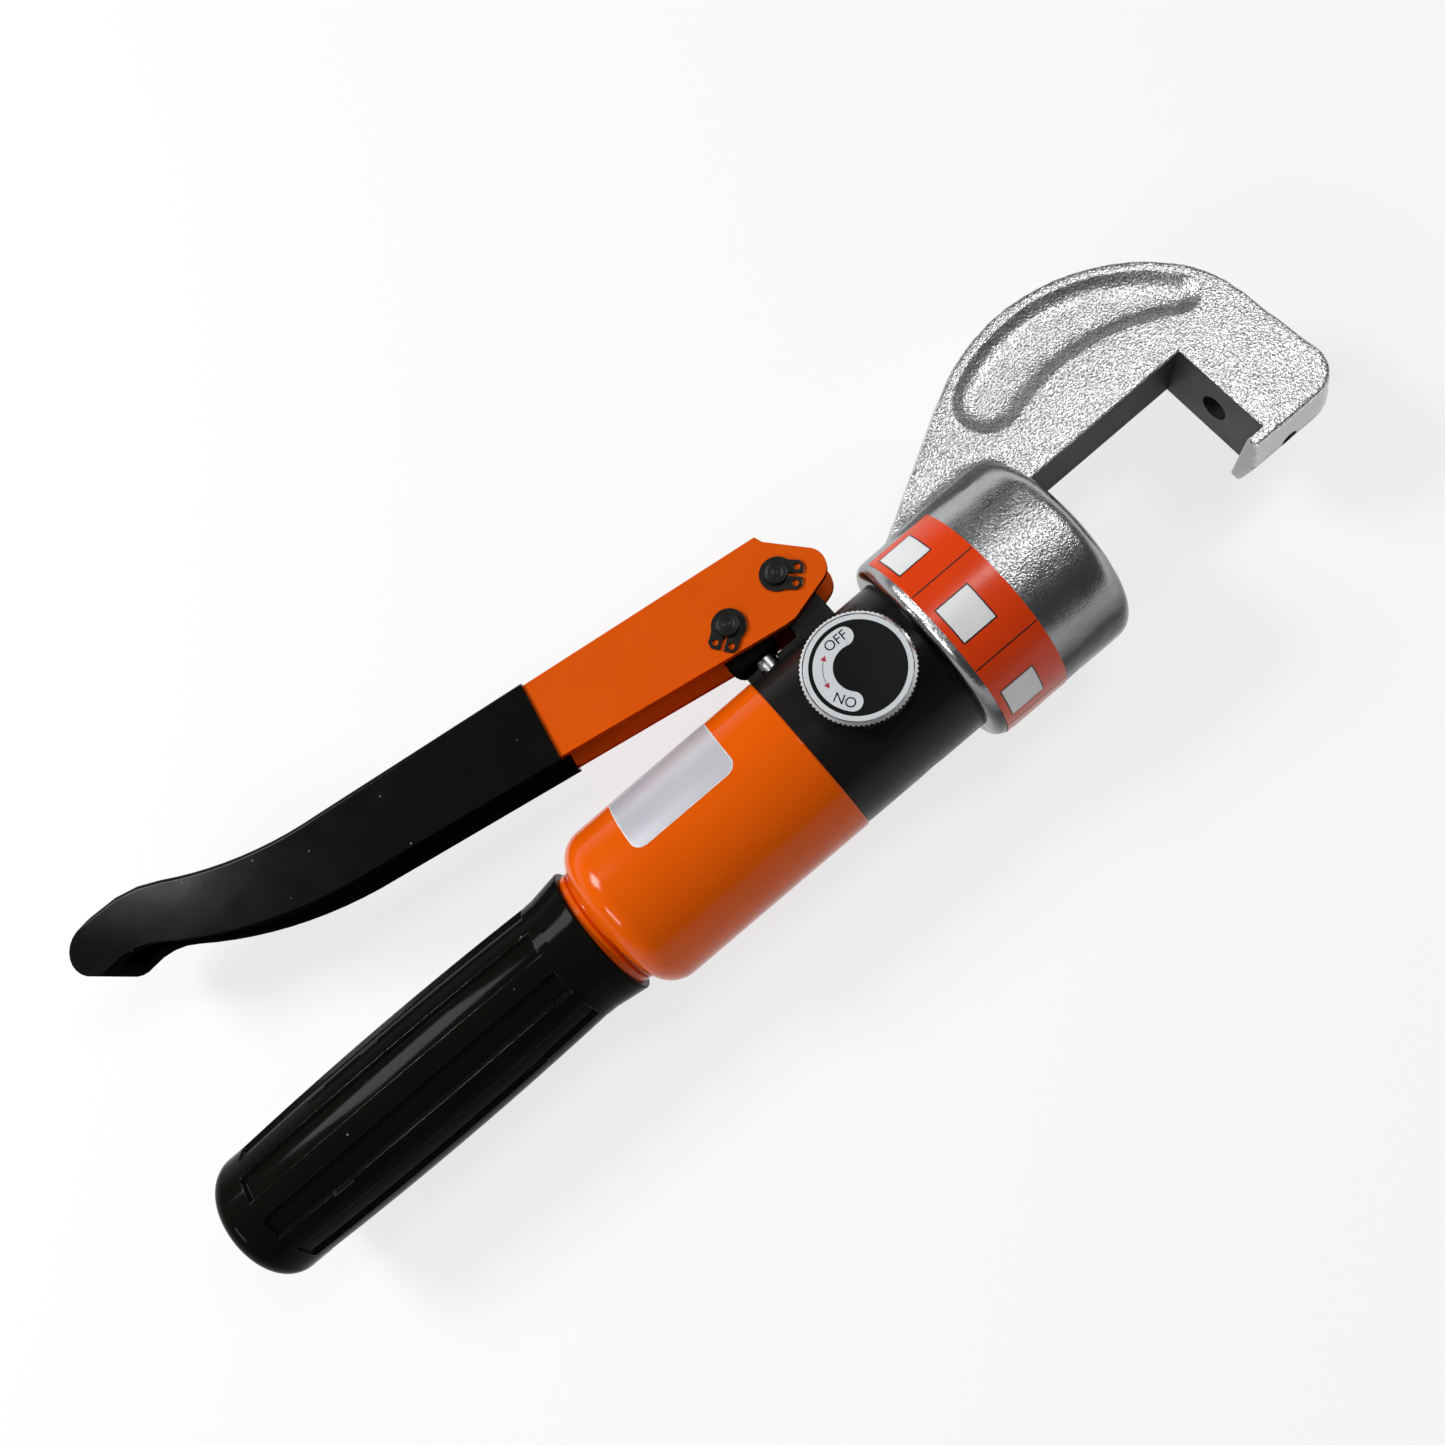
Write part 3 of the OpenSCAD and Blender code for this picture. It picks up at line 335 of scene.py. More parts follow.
def block(name, low, high):
    """A block between two corners in millimetres."""
    bpy.ops.object.select_all(action="DESELECT")
    middle = [(a + b) / 2 * MM for a, b in zip(low, high)]
    bpy.ops.mesh.primitive_cube_add(size=1, location=middle)
    bpy.context.object.scale = [(b - a) * MM for a, b in zip(low, high)]
    return settled(name)


def bar(name, start, end, radius, sides=64):
    """A round bar between two points in millimetres."""
    bpy.ops.object.select_all(action="DESELECT")
    run = Vector(end) - Vector(start)
    bpy.ops.mesh.primitive_cylinder_add(
        vertices=sides,
        radius=radius * MM,
        depth=run.length * MM,
        location=(Vector(start) + Vector(end)) / 2 * MM,
        rotation=run.to_track_quat("Z", "Y").to_euler(),
    )
    return settled(name)


def turned(name, stations, sides=128, hollow=False):
    """A piece turned about the tool's axis through stations (x, radius) in millimetres."""
    bpy.ops.object.select_all(action="DESELECT")
    x, radius = stations[0]
    bpy.ops.mesh.primitive_circle_add(
        vertices=sides,
        radius=radius * MM,
        fill_type="NOTHING" if hollow else "NGON",
        location=(x * MM, 0, 0),
        rotation=(0, math.pi / 2, 0),
    )
    piece = settled(name)
    bpy.ops.object.mode_set(mode="EDIT")
    bpy.ops.mesh.select_all(action="SELECT")
    for next_x, next_radius in stations[1:]:
        step = {"value": ((next_x - x) * MM, 0, 0)}
        if hollow:
            bpy.ops.mesh.extrude_edges_move(TRANSFORM_OT_translate=step)
        else:
            bpy.ops.mesh.extrude_region_move(TRANSFORM_OT_translate=step)
        share = next_radius / radius
        bpy.ops.transform.resize(
            value=(1, share, share), center_override=(next_x * MM, 0, 0)
        )
        x, radius = next_x, next_radius
    bpy.ops.mesh.select_all(action="SELECT")
    bpy.ops.mesh.remove_doubles(threshold=0.000002)
    bpy.ops.mesh.normals_make_consistent(inside=False)
    bpy.ops.object.mode_set(mode="OBJECT")
    return piece


def joined(first, *others):
    """Makes several pieces one."""
    alone(first)
    for other in others:
        other.select_set(True)
    bpy.ops.object.join()
    return first


def change(piece, kind, **settings):
    """Adds a modifier with these settings and applies it."""
    alone(piece)
    step = piece.modifiers.new(kind.lower(), kind)
    for setting, value in settings.items():
        setattr(step, setting, value)
    bpy.ops.object.modifier_apply(modifier=step.name)


def cut(piece, tool, operation="DIFFERENCE", keep=False):
    """Cuts a tool's form out of a piece, or adds it, and puts the tool away."""
    change(piece, "BOOLEAN", object=tool, operation=operation, solver="EXACT")
    if not keep:
        bpy.data.objects.remove(tool)


def rounded(piece, angle):
    """Smooth shading, with edges sharper than the angle kept crisp and flat faces flat."""
    alone(piece)
    bpy.ops.object.shade_smooth_by_angle(angle=math.radians(angle))
    change(piece, "WEIGHTED_NORMAL", keep_sharp=True)


# The bores and the jaw's corners are filled before the blank is softened and cut again.
head = copy_of("c_head", "head_forging")
joined(
    head,
    block("spine_stock", (COLLAR_FRONT + 1, 8, -FACE_Z), (2, 13, FACE_Z)),
    block("seat_stock", (-3, -12, -FACE_Z), (2, 12.5, FACE_Z)),
    bar("die_stock", (0.5, 0, 0), (12.6, 0, 0), DIE_R + 0.6),
    bar("lock_stock", (LOCK_X, -14.8, 0), (LOCK_X, -1, 0), LOCK_R + 0.6),
    bar("bore_stock", (-78.6, 0, 0), (COLLAR_FRONT - 0.05, 0, 0), 18.6),
)
change(head, "REMESH", mode="VOXEL", voxel_size=0.55 * MM)
change(head, "SMOOTH", factor=0.5, iterations=7)
recess = head.vertex_groups.new(name="recess")
for vertex in head.data.vertices:
    x, y, z = vertex.co / MM
    walled = RECESS_LOW < abs(z) < RECESS_HIGH and y > RECESS_Y and (x > -39.5 or y > 24)
    if walled and math.hypot(x - CROWN_X, y - CROWN_Y) < CROWN_R:
        recess.add([vertex.index], 1.0, "REPLACE")
change(head, "SMOOTH", factor=0.5, iterations=60, vertex_group="recess")
waves = bpy.data.textures.new("forging_waves", "CLOUDS")
waves.noise_scale = 0.007
change(head, "DISPLACE", texture=waves, texture_coords="LOCAL", strength=0.00022, mid_level=0.5)
head.data.materials.append(zinc)
head.data.materials.append(milled)

opening = block("jaw_opening", (COLLAR_FRONT + 0.1, LIP_Y, -20), (0, JAW_FLOOR, 20))
die_bore = bar("die_bore", (-2, 0, 0), (DIE_DEPTH, 0, 0), DIE_R)
lock_bore = bar("lock_bore", (LOCK_X, -18, 0), (LOCK_X, -1.55, 0), LOCK_R)
collar_bore = turned(
    "collar_bore",
    [(-82, SPIGOT_R), (-56.95, SPIGOT_R), (-56.95, SPRING_R), (-48, SPRING_R), (-48, RAM_R),
     (-46.4, RAM_R), (-46.4, WIPER_R), (-44, WIPER_R), (-44, RAM_R), (-40, RAM_R)],
    96,
)
edge_breaks = []
for side in (1, -1):
    low, high = sorted((side * (FACE_Z - 0.3), side * (FACE_Z + 0.9)))
    edge_break = block("edge_break", (COLLAR_FRONT + 0.1, LIP_Y, low), (0, JAW_FLOOR, high))
    for vertex in edge_break.data.vertices:
        if abs(vertex.co.z) > FACE_Z * MM:
            vertex.co.x += EDGE_BREAK * MM if vertex.co.x > -1 * MM else 0
            vertex.co.y += EDGE_BREAK * MM if vertex.co.y > 0 else -EDGE_BREAK * MM
    edge_breaks.append(edge_break)
for cutter in (opening, die_bore, lock_bore, collar_bore, *edge_breaks):
    cutter.data.materials.append(zinc)
    cutter.data.materials.append(milled)
    for polygon in cutter.data.polygons:
        polygon.material_index = 0 if cutter in edge_breaks else 1
    cut(head, cutter)
rounded(head, 40)
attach(head, "frame")
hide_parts("c_head")

# Collar band: a strip of red-orange vinyl stuck round the collar, up to the arm's
# fillets. Thin printed rules part it into panels, each with a plain white square.
COLLAR_R = 22.9
BAND_R, INK_R, SQUARE_R = COLLAR_R + 0.05, COLLAR_R + 0.17, COLLAR_R + 0.19
BAND_T, INK_T = 0.12, 0.02
RULES_AT = (77.2, 124.8, 172.4, 220.0, 267.6)
RULE_HALF = 0.35
SQUARES_AT = (52.2, 100.2, 153.4, 196.2, 243.8, 291.4)
EDGE_HALF, SQUARE_HALF = 10.9, 10.1


def swept(name, start, run, steps, degrees, centre, axis):
    """A strip without thickness: a line from start along run, swept round an axis."""
    bpy.ops.object.select_all(action="DESELECT")
    bpy.ops.mesh.primitive_plane_add(size=1, location=(0, 0, 0))
    piece = bpy.context.object
    piece.name = name
    bpy.ops.object.mode_set(mode="EDIT")
    bpy.ops.mesh.select_mode(type="VERT")
    bpy.ops.mesh.select_all(action="SELECT")
    bpy.ops.mesh.merge(type="CENTER")
    bpy.ops.transform.translate(value=start)
    bpy.ops.mesh.extrude_vertices_move(TRANSFORM_OT_translate={"value": run})
    bpy.ops.mesh.select_all(action="SELECT")
    bpy.ops.mesh.spin(steps=steps, angle=math.radians(degrees), center=centre, axis=axis)
    bpy.ops.mesh.select_all(action="SELECT")
    bpy.ops.mesh.remove_doubles(threshold=0.000001)
    bpy.ops.mesh.normals_make_consistent(inside=False)
    bpy.ops.object.mode_set(mode="OBJECT")
    return piece


def wrap(name, radius, x_from, x_to, from_deg, to_deg, thick, steps, corner=0.0):
    """A thin strip bent round the tool's axis, with round corners if wished; angles run
    from +Y towards +Z."""
    turn = math.radians(from_deg)
    start = (x_from * MM, radius * MM * math.cos(turn), radius * MM * math.sin(turn))
    run = ((x_to - x_from) * MM, 0, 0)
    piece = swept(name, start, run, steps, from_deg - to_deg, (0, 0, 0), (1, 0, 0))
    for vertex in piece.data.vertices:
        turn = math.degrees(math.atan2(vertex.co.z, vertex.co.y)) % 360
        inset = math.radians(min(turn - from_deg, to_deg - turn)) * radius
        if inset < corner:
            back = corner - math.sqrt(max(corner**2 - (corner - inset) ** 2, 0))
            vertex.co.x += back * MM * (1 if vertex.co.x < (x_from + x_to) / 2 * MM else -1)
    change(piece, "SOLIDIFY", thickness=thick * MM, offset=1.0)
    rounded(piece, 40)
    return piece


band_print, tree, shader, where = finish("red-orange vinyl", "D63C0C", 0.0, 0.24)
shader.inputs["Specular IOR Level"].default_value = 0.35
mottled(tree, shader, where, 140, 4, "CF380A", "DB410E")
relief(tree, shader, noise(tree, where, 500, 2), 0.0002, 0.12)
white_print, tree, shader, where = finish("white print", "DDDEDD", 0.0, 0.35)
mottled(tree, shader, where, 200, 3, "D2D3D3", "E6E7E6")
black_print, tree, shader, where = finish("black print", "1A1414", 0.0, 0.4)
mottled(tree, shader, where, 200, 3, "161111", "241C1B")

band = wrap("collar_band", BAND_R, -76.4, -61.0, 35, 325, BAND_T, 128)
band.data.materials.append(band_print)
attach(band, "frame")
for i, at in enumerate(RULES_AT):
    rule = wrap(
        f"band_rule_{i}", INK_R, -76.2, -61.2, at - RULE_HALF, at + RULE_HALF, INK_T, 2
    )
    rule.data.materials.append(black_print)
    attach(rule, "frame")
for i, at in enumerate(SQUARES_AT):
    square_edge = wrap(
        f"band_square_edge_{i}", INK_R, -74.9, -66.6, at - EDGE_HALF, at + EDGE_HALF, INK_T, 12
    )
    square_edge.data.materials.append(black_print)
    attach(square_edge, "frame")
    square = wrap(
        f"band_square_{i}", SQUARE_R, -74.6, -66.9, at - SQUARE_HALF, at + SQUARE_HALF, INK_T, 12
    )
    square.data.materials.append(white_print)
    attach(square, "frame")

# Lock screw: a hardened grub screw, blackened in hot oil. It is screwed into the jaw's
# end face, where it holds the die's peg.
black_oxide, tree, shader, where = finish("black oxide", "121212", 0.0, 0.3)
mottled(tree, shader, where, 90, 5, "121110", "1C1B19")


def scuffed(nodes_of, shader, where, scale, detail, smooth, dull, stretch=None):
    """Lets a finish's roughness wander between two values."""
    clouds = noise(nodes_of, where, scale, detail, stretch)
    rough = spread(nodes_of, clouds, 0.3, 0.7, smooth, dull)
    nodes_of.links.new(rough, shader.inputs["Roughness"])


scuffed(tree, shader, where, 260, 4, 0.25, 0.36)
relief(tree, shader, noise(tree, where, 2600, 2), 0.00012, 0.1)
shader.inputs["Specular IOR Level"].default_value = 0.14


def paint(node, look):
    """Gives a CAD piece that shows as it is its finish."""
    nodes[node].data.materials.clear()
    nodes[node].data.materials.append(look)


paint("die_lock_screw", black_oxide)

# Ram and its fittings: a ground steel piston with rubber seals and a nylon back-up ring,
# and a wiper in the collar's front wall. A coil spring between collar and piston pushes
# it back.
GRINDING = (8.0, 1.0, 1.0)
ground_steel, tree, shader, where = finish("ground steel", "B9BBBE", 1.0, 0.25)
scuffed(tree, shader, where, 700, 3, 0.18, 0.36, GRINDING)
relief(tree, shader, noise(tree, where, 900, 2, GRINDING), 0.0001, 0.12)

rubber, tree, shader, where = finish("nitrile rubber", "141414", 0.0, 0.55)
mottled(tree, shader, where, 300, 4, "0E0E0E", "1C1C1C")
relief(tree, shader, noise(tree, where, 1800, 2), 0.0001, 0.15)

nylon, tree, shader, where = finish("natural nylon", "D8D3C4", 0.0, 0.45)
mottled(tree, shader, where, 150, 3, "CFC9B8", "E2DED1")
shader.inputs["Subsurface Weight"].default_value = 0.1

spring_steel, tree, shader, where = finish("spring steel", "77797C", 1.0, 0.35)
mottled(tree, shader, where, 500, 3, "5F6164", "8D8F93")

paint("ram_piston", ground_steel)
return_spring = copy_of("ram_return_spring", "return_spring")
rounded(return_spring, 50)
return_spring.data.materials.append(spring_steel)
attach(return_spring, "frame")
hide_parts("ram_return_spring")
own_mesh(return_spring)
for ring in (
    "ram_seal", "ram_wiper", "spigot_o_ring", "plunger_seal", "needle_o_ring", "oil_bladder"
):
    paint(ring, rubber)
paint("ram_backup_ring", nylon)

# Pump block: turned and drilled from one bar and blackened all over, with the lug that
# carries the lever. A gland ring is screwed into its pad, both are notched in front of
# the pump's rod, and the valves sit in its bores.
BARREL_R = 18.8
ROD_X, ROD_HOLE_R = -104.4, 2.6
NOTCH_LOW, NOTCH_HIGH = (ROD_X - 2.3, 16, 0.6), (ROD_X + 2.45, 21, 6)
GLAND_R, GLAND_LOW, GLAND_TOP = 4.6, 14.2, 19.8
brass_mesh, tree, shader, where = finish("brass gauze", "B08D4A", 1.0, 0.4)
gauze = tree.nodes.new("ShaderNodeTexChecker")
gauze.inputs["Scale"].default_value = 3000
gauze.inputs["Color1"].default_value = linear("C29E56")
gauze.inputs["Color2"].default_value = linear("5E4A25")
tree.links.new(where, gauze.inputs["Vector"])
tree.links.new(gauze.outputs["Color"], shader.inputs["Base Color"])


def flat_sided(piece):
    """Joins the loose triangles of a piece's flat faces."""
    alone(piece)
    bpy.ops.object.mode_set(mode="EDIT")
    bpy.ops.mesh.select_all(action="SELECT")
    bpy.ops.mesh.dissolve_limited(angle_limit=math.radians(0.5))
    bpy.ops.object.mode_set(mode="OBJECT")


def eased(piece, width, segments, angle, **more):
    """Breaks each edge of a piece that is sharper than the angle."""
    change(piece, "BEVEL", width=width * MM, segments=segments, limit_method="ANGLE",
           angle_limit=math.radians(angle), **more)


pump_block = copy_of("cylinder_block", "pump_block")
flat_sided(pump_block)
eased(pump_block, 0.25, 2, 40)
notch = block("rod_notch", NOTCH_LOW, NOTCH_HIGH)
barrel_form = bar("barrel_form", (-112, 0, 0), (-90, 0, 0), BARREL_R + 0.02, 192)
cut(notch, barrel_form)
cut(pump_block, notch, keep=True)
rounded(pump_block, 30)
pump_block.data.materials.append(black_oxide)
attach(pump_block, "frame")
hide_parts("cylinder_block")

gland = bar("gland_ring", (ROD_X, GLAND_LOW, 0), (ROD_X, GLAND_TOP, 0), GLAND_R)
rod_bore = bar("rod_bore", (ROD_X, 10, 0), (ROD_X, 22, 0), ROD_HOLE_R)
for tool in (notch, rod_bore):
    cut(gland, tool)
eased(gland, 0.2, 2, 40)
rounded(gland, 30)
gland.data.materials.append(black_oxide)
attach(gland, "frame")
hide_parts("pump_gland")
for ball in ("suction_ball", "delivery_ball", "relief_ball", "release_needle"):
    paint(ball, ground_steel)
for spring in ("suction_spring", "delivery_spring", "relief_spring"):
    paint(spring, spring_steel)
for plug in ("suction_seat", "delivery_plug", "relief_screw"):
    paint(plug, black_oxide)
paint("suction_strainer", brass_mesh)

# Plunger: a pump rod, ground and hard-chromed, in one piece with its blackened eye. The
# lever's pin runs in the eye's slot, and lifts the rod and pushes it down.
ROD_TOP = 21.6
EYE_HALF, EYE_LOW, EYE_FRONT = 4.6, 24.7, -99.0
rod_chrome, tree, shader, where = finish("ground chrome", "D6D7D9", 1.0, 0.26)
shader.inputs["Specular Tint"].default_value = (0.15, 0.15, 0.15, 1)
oil = noise(tree, where, 220, 4)
# Painted reflection: the rod's faces that face up or down stay bright chrome, and those that
# face sideways are painted near-black, as if mirroring the dark parts beside them.
rod_facing_up = spread(tree, sums(tree, "ABSOLUTE", facing(tree)["Z"]), 0.55, 0.85, 0.0, 1.0)
rod_sides_painted_reflection, bright = tint(tree, oil, "1C1C1C", "2A2A2B"), tint(tree, oil, "D4D5D7", "ECEDED")
tree.links.new(tint(tree, rod_facing_up, rod_sides_painted_reflection, bright), shader.inputs["Base Color"])
eye_black, tree, shader, where = finish("oiled black", "0B0B0B", 0.0, 0.4)
shader.inputs["Specular IOR Level"].default_value = 0.0
mottled(tree, shader, where, 120, 4, "090909", "121211")


def pick_edges(piece, wanted):
    """Selects the edges for which wanted(end, other end) holds, and opens the piece."""
    alone(piece)
    bpy.ops.object.mode_set(mode="EDIT")
    bpy.ops.mesh.select_mode(type="EDGE")
    bpy.ops.mesh.select_all(action="DESELECT")
    bpy.ops.object.mode_set(mode="OBJECT")
    points = [vertex.co for vertex in piece.data.vertices]
    for edge in piece.data.edges:
        edge.select = wanted(points[edge.vertices[0]], points[edge.vertices[1]])
    bpy.ops.object.mode_set(mode="EDIT")


def under_eye(one, two):
    """True for the edges of the eye's lower corners."""
    return all(
        abs(p.z) > EYE_HALF * MM and p.y < EYE_LOW * MM and p.x < EYE_FRONT * MM
        for p in (one, two)
    )


plunger = copy_of("pump_plunger", "plunger_rod")
flat_sided(plunger)
pick_edges(plunger, under_eye)
bpy.ops.mesh.bevel(offset=1.3 * MM, segments=4, affect="EDGES", clamp_overlap=False)
bpy.ops.object.mode_set(mode="OBJECT")
eased(plunger, 0.2, 2, 45)
plunger.data.materials.append(eye_black)
plunger.data.materials.append(rod_chrome)
for polygon in plunger.data.polygons:
    x, y, z = polygon.center
    on_rod = math.hypot(x - ROD_X * MM, z) < ROD_HOLE_R * MM and y < ROD_TOP * MM
    polygon.material_index = 1 if on_rod else 0
rounded(plunger, 30)
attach(plunger, "plunger")
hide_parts("pump_plunger")

# Release knob: a knurled brass knob, bright-plated, on the release valve's stem. Its
# flat top carries a printed disc that shows which way to turn it.
KNOB_X, KNOB_Y, KNOB_TOP = -92.85, 1.5, 23.2
DISC_R, DISC_T, PRINT_T = 10.55, 0.4, 0.03
SCALE_IN, SCALE_OUT = 0.455 * DISC_R, 0.825 * DISC_R
SCALE_FROM, SCALE_TO = 73.6, 222.0
SCALE_LOW = KNOB_TOP + 0.04
MARK_R, MARK_LOW, MARK_T = (SCALE_IN + SCALE_OUT) / 2, SCALE_LOW + 0.035, 0.02
ARROW_R, WORD_SIZE = 0.72, 2.9
chrome, tree, shader, where = finish("hard chrome", "D6D7D9", 1.0, 0.12)
scuffed(tree, shader, where, 500, 3, 0.07, 0.2)
mottled(tree, shader, where, 220, 4, "C4C5C8", "E4E5E6")
grey_film, tree, shader, where = finish("grey film", "C9CDD0", 0.0, 0.4)
mottled(tree, shader, where, 160, 3, "C0C4C7", "D2D6D8")
disc_print, tree, shader, where = finish("disc print", "111212", 0.0, 0.3)
shader.inputs["Specular IOR Level"].default_value = 0.08
mottled(tree, shader, where, 160, 4, "0D0E0E", "151616")
crimson, tree, shader, where = finish("crimson print", "A5123C", 0.0, 0.4)
mottled(tree, shader, where, 160, 4, "9A0F36", "B01742")
paint("release_knob", chrome)


def disc(name, radius, top, thick):
    """A round plate on the knob, with a softly broken edge."""
    bpy.ops.object.select_all(action="DESELECT")
    bpy.ops.mesh.primitive_circle_add(
        vertices=96,
        radius=radius * MM,
        fill_type="NGON",
        location=(KNOB_X * MM, KNOB_Y * MM, (top - thick) * MM),
    )
    piece = settled(name)
    bpy.ops.object.mode_set(mode="EDIT")
    bpy.ops.mesh.select_all(action="SELECT")
    bpy.ops.mesh.extrude_region_move(TRANSFORM_OT_translate={"value": (0, 0, thick * MM)})
    bpy.ops.mesh.inset(thickness=0.05 * MM, depth=0.01 * MM)
    bpy.ops.mesh.select_all(action="SELECT")
    bpy.ops.mesh.normals_make_consistent(inside=False)
    bpy.ops.object.mode_set(mode="OBJECT")
    return piece


label = disc("knob_disc", DISC_R, KNOB_TOP, DISC_T)
label.data.materials.append(grey_film)
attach(label, "knob")
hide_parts("knob_label")
ink = disc("knob_disc_ink", 0.905 * DISC_R, KNOB_TOP + PRINT_T, PRINT_T)
ink.data.materials.append(disc_print)
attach(ink, "knob")


def on_disc(radius, degrees, height):
    """A point on the knob's top, in metres."""
    turn = math.radians(degrees)
    x, y = KNOB_X + radius * math.cos(turn), KNOB_Y + radius * math.sin(turn)
    return Vector((x * MM, y * MM, height * MM))


def sector(name, inner, outer, from_deg, to_deg, low, steps):
    """A flat curved strip on the knob's top."""
    start, end = on_disc(inner, from_deg, low), on_disc(outer, from_deg, low)
    centre = (KNOB_X * MM, KNOB_Y * MM, 0)
    return swept(name, start, end - start, steps, from_deg - to_deg, centre, (0, 0, 1))


def half_disc(name, degrees, away):
    """The round end of the scale: half a disc past that angle."""
    bpy.ops.object.select_all(action="DESELECT")
    middle = on_disc(MARK_R, degrees, SCALE_LOW)
    bpy.ops.mesh.primitive_circle_add(
        vertices=48, radius=(SCALE_OUT - SCALE_IN) / 2 * MM, fill_type="NGON", location=middle
    )
    piece = settled(name)
    along = math.radians(degrees + 90)
    bpy.ops.object.mode_set(mode="EDIT")
    bpy.ops.mesh.select_all(action="SELECT")
    bpy.ops.mesh.bisect(
        plane_co=middle,
        plane_no=(math.cos(along) * away, math.sin(along) * away, 0),
        clear_inner=True,
    )
    bpy.ops.object.mode_set(mode="OBJECT")
    return piece


def plate(piece, thick):
    """Gives a flat shape its thickness upwards."""
    alone(piece)
    bpy.ops.object.mode_set(mode="EDIT")
    bpy.ops.mesh.select_all(action="SELECT")
    bpy.ops.mesh.remove_doubles(threshold=0.000003)
    bpy.ops.mesh.extrude_region_move(TRANSFORM_OT_translate={"value": (0, 0, thick * MM)})
    bpy.ops.mesh.select_all(action="SELECT")
    bpy.ops.mesh.normals_make_consistent(inside=False)
    bpy.ops.object.mode_set(mode="OBJECT")


scale = sector("knob_scale", SCALE_IN, SCALE_OUT, SCALE_FROM, SCALE_TO, SCALE_LOW, 60)
joined(
    scale,
    half_disc("scale_end_off", SCALE_FROM, -1),
    half_disc("scale_end_on", SCALE_TO, 1),
)
plate(scale, PRINT_T)
scale.data.materials.append(grey_film)
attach(scale, "knob")

track = sector("knob_track", MARK_R - 0.05, MARK_R + 0.05, 127, 168, MARK_LOW, 24)
plate(track, MARK_T)
track.data.materials.append(disc_print)
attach(track, "knob")
for name, at, turn in (("knob_arrow_off", 124.5, 180), ("knob_arrow_on", 170.5, 0)):
    bpy.ops.object.select_all(action="DESELECT")
    bpy.ops.mesh.primitive_circle_add(
        vertices=3, radius=ARROW_R * MM, fill_type="NGON",
        location=on_disc(MARK_R, at, MARK_LOW), rotation=(0, 0, math.radians(at + turn)),
    )
    arrow = settled(name)
    plate(arrow, MARK_T)
    arrow.data.materials.append(crimson)
    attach(arrow, "knob")
for name, words, at in (("knob_word_off", "OFF", 88.5), ("knob_word_on", "ON", 209.0)):
    bpy.ops.object.select_all(action="DESELECT")
    bpy.ops.object.text_add(
        location=on_disc(MARK_R, at, MARK_LOW), rotation=(0, 0, math.radians(at - 90))
    )
    text = bpy.context.object.data
    text.body = words
    text.size = WORD_SIZE * MM
    text.align_x = "CENTER"
    text.align_y = "CENTER"
    text.extrude = MARK_T / 2 * MM
    bpy.ops.object.convert(target="MESH")
    word = settled(name)
    word.data.materials.append(disc_print)
    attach(word, "knob")

# Sleeve: a spun steel tube over the block's tail, painted orange. Its rear closes with
# a round shoulder to a short neck, and it bears a bare silver plate.
SLEEVE_R, SLEEVE_FRONT, SLEEVE_BACK = 19.1, -110.0, -164.7
TAIL_R, TUBE_R, NECK_R, NECK_END = 16.45, 12.35, 14.0, -166.9
SHOULDER_R = 7


def arc(x, radius, reach, start, end, steps):
    """Stations on an arc of a turned profile: angles from the tool's +X towards outwards."""
    turns = [math.radians(start + (end - start) * i / steps) for i in range(steps + 1)]
    return [(x + reach * math.cos(t), radius + reach * math.sin(t)) for t in turns]


def coat(name, low, high):
    """Glossy stove enamel with a faint orange-peel skin."""
    made, nodes_of, shade, place = finish(name, high, 0.0, 0.14)
    shade.inputs["Specular IOR Level"].default_value = 0.14
    shade.inputs["Coat Weight"].default_value = 0.07
    shade.inputs["Coat Roughness"].default_value = 0.04
    mottled(nodes_of, shade, place, 45, 4, low, high)
    scuffed(nodes_of, shade, place, 120, 4, 0.1, 0.18)
    relief(nodes_of, shade, noise(nodes_of, place, 420, 1), 0.0002, 0.06)
    return made


sleeve_paint = coat("orange enamel", "D95504", "E05B06")
sleeve = turned(
    "sleeve_shell",
    [(SLEEVE_FRONT, TAIL_R), (SLEEVE_FRONT, SLEEVE_R - 0.6)]
    + arc(SLEEVE_FRONT - 0.5, SLEEVE_R - 0.5, 0.5, 0, 90, 6)
    + [(x, SLEEVE_R) for x in (-118, -128, -138, -148)]
    + arc(SLEEVE_BACK + SHOULDER_R, SLEEVE_R - SHOULDER_R, SHOULDER_R, 90, 170, 24)
    + [(-164.9, 13.25), (-165.2, 13.4), (-165.5, NECK_R), (NECK_END, NECK_R),
       (NECK_END, TUBE_R), (-143.6, TUBE_R), (-143.6, TAIL_R), (SLEEVE_FRONT, TAIL_R)],
    hollow=True,
)
rounded(sleeve, 32)
sleeve.data.materials.append(sleeve_paint)
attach(sleeve, "frame")
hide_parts("body_sleeve")

plate_film, tree, shader, where = finish("silver film", "C0C0C8", 0.2, 0.3)
mottled(tree, shader, where, 80, 3, "B8B8C0", "C8C8CE")
relief(tree, shader, noise(tree, where, 700, 2), 0.0001, 0.05)
backing = wrap("rating_plate_edge", SLEEVE_R + 0.01, -148.7, -122.7, 20, 80.9, 0.05, 80, 2.6)
backing.data.materials.append(white_print)
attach(backing, "frame")
rating = wrap("rating_plate", SLEEVE_R + 0.06, -148.45, -122.95, 20.7, 80.2, 0.04, 80, 2.4)
rating.data.materials.append(plate_film)
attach(rating, "frame")

# Handle tube and grip: a steel tube clamped behind the block, with a moulded glossy
# grip pushed over it. Nine flat flutes run along the grip, between lip and round end.
GRIP_FRONT, GRIP_END = NECK_END, -262.9
GRIP_R, GRIP_FALL, END_R = 15, 0.8, 4.5
FLUTE_FRONT, FLUTE_BACK = -176.9, -253.9
FLUTES, FLUTE_FIRST, FLUTE_WIDTH, FLUTE_DEPTH = 9, 22, 23, 0.9
paint("handle_tube", spring_steel)


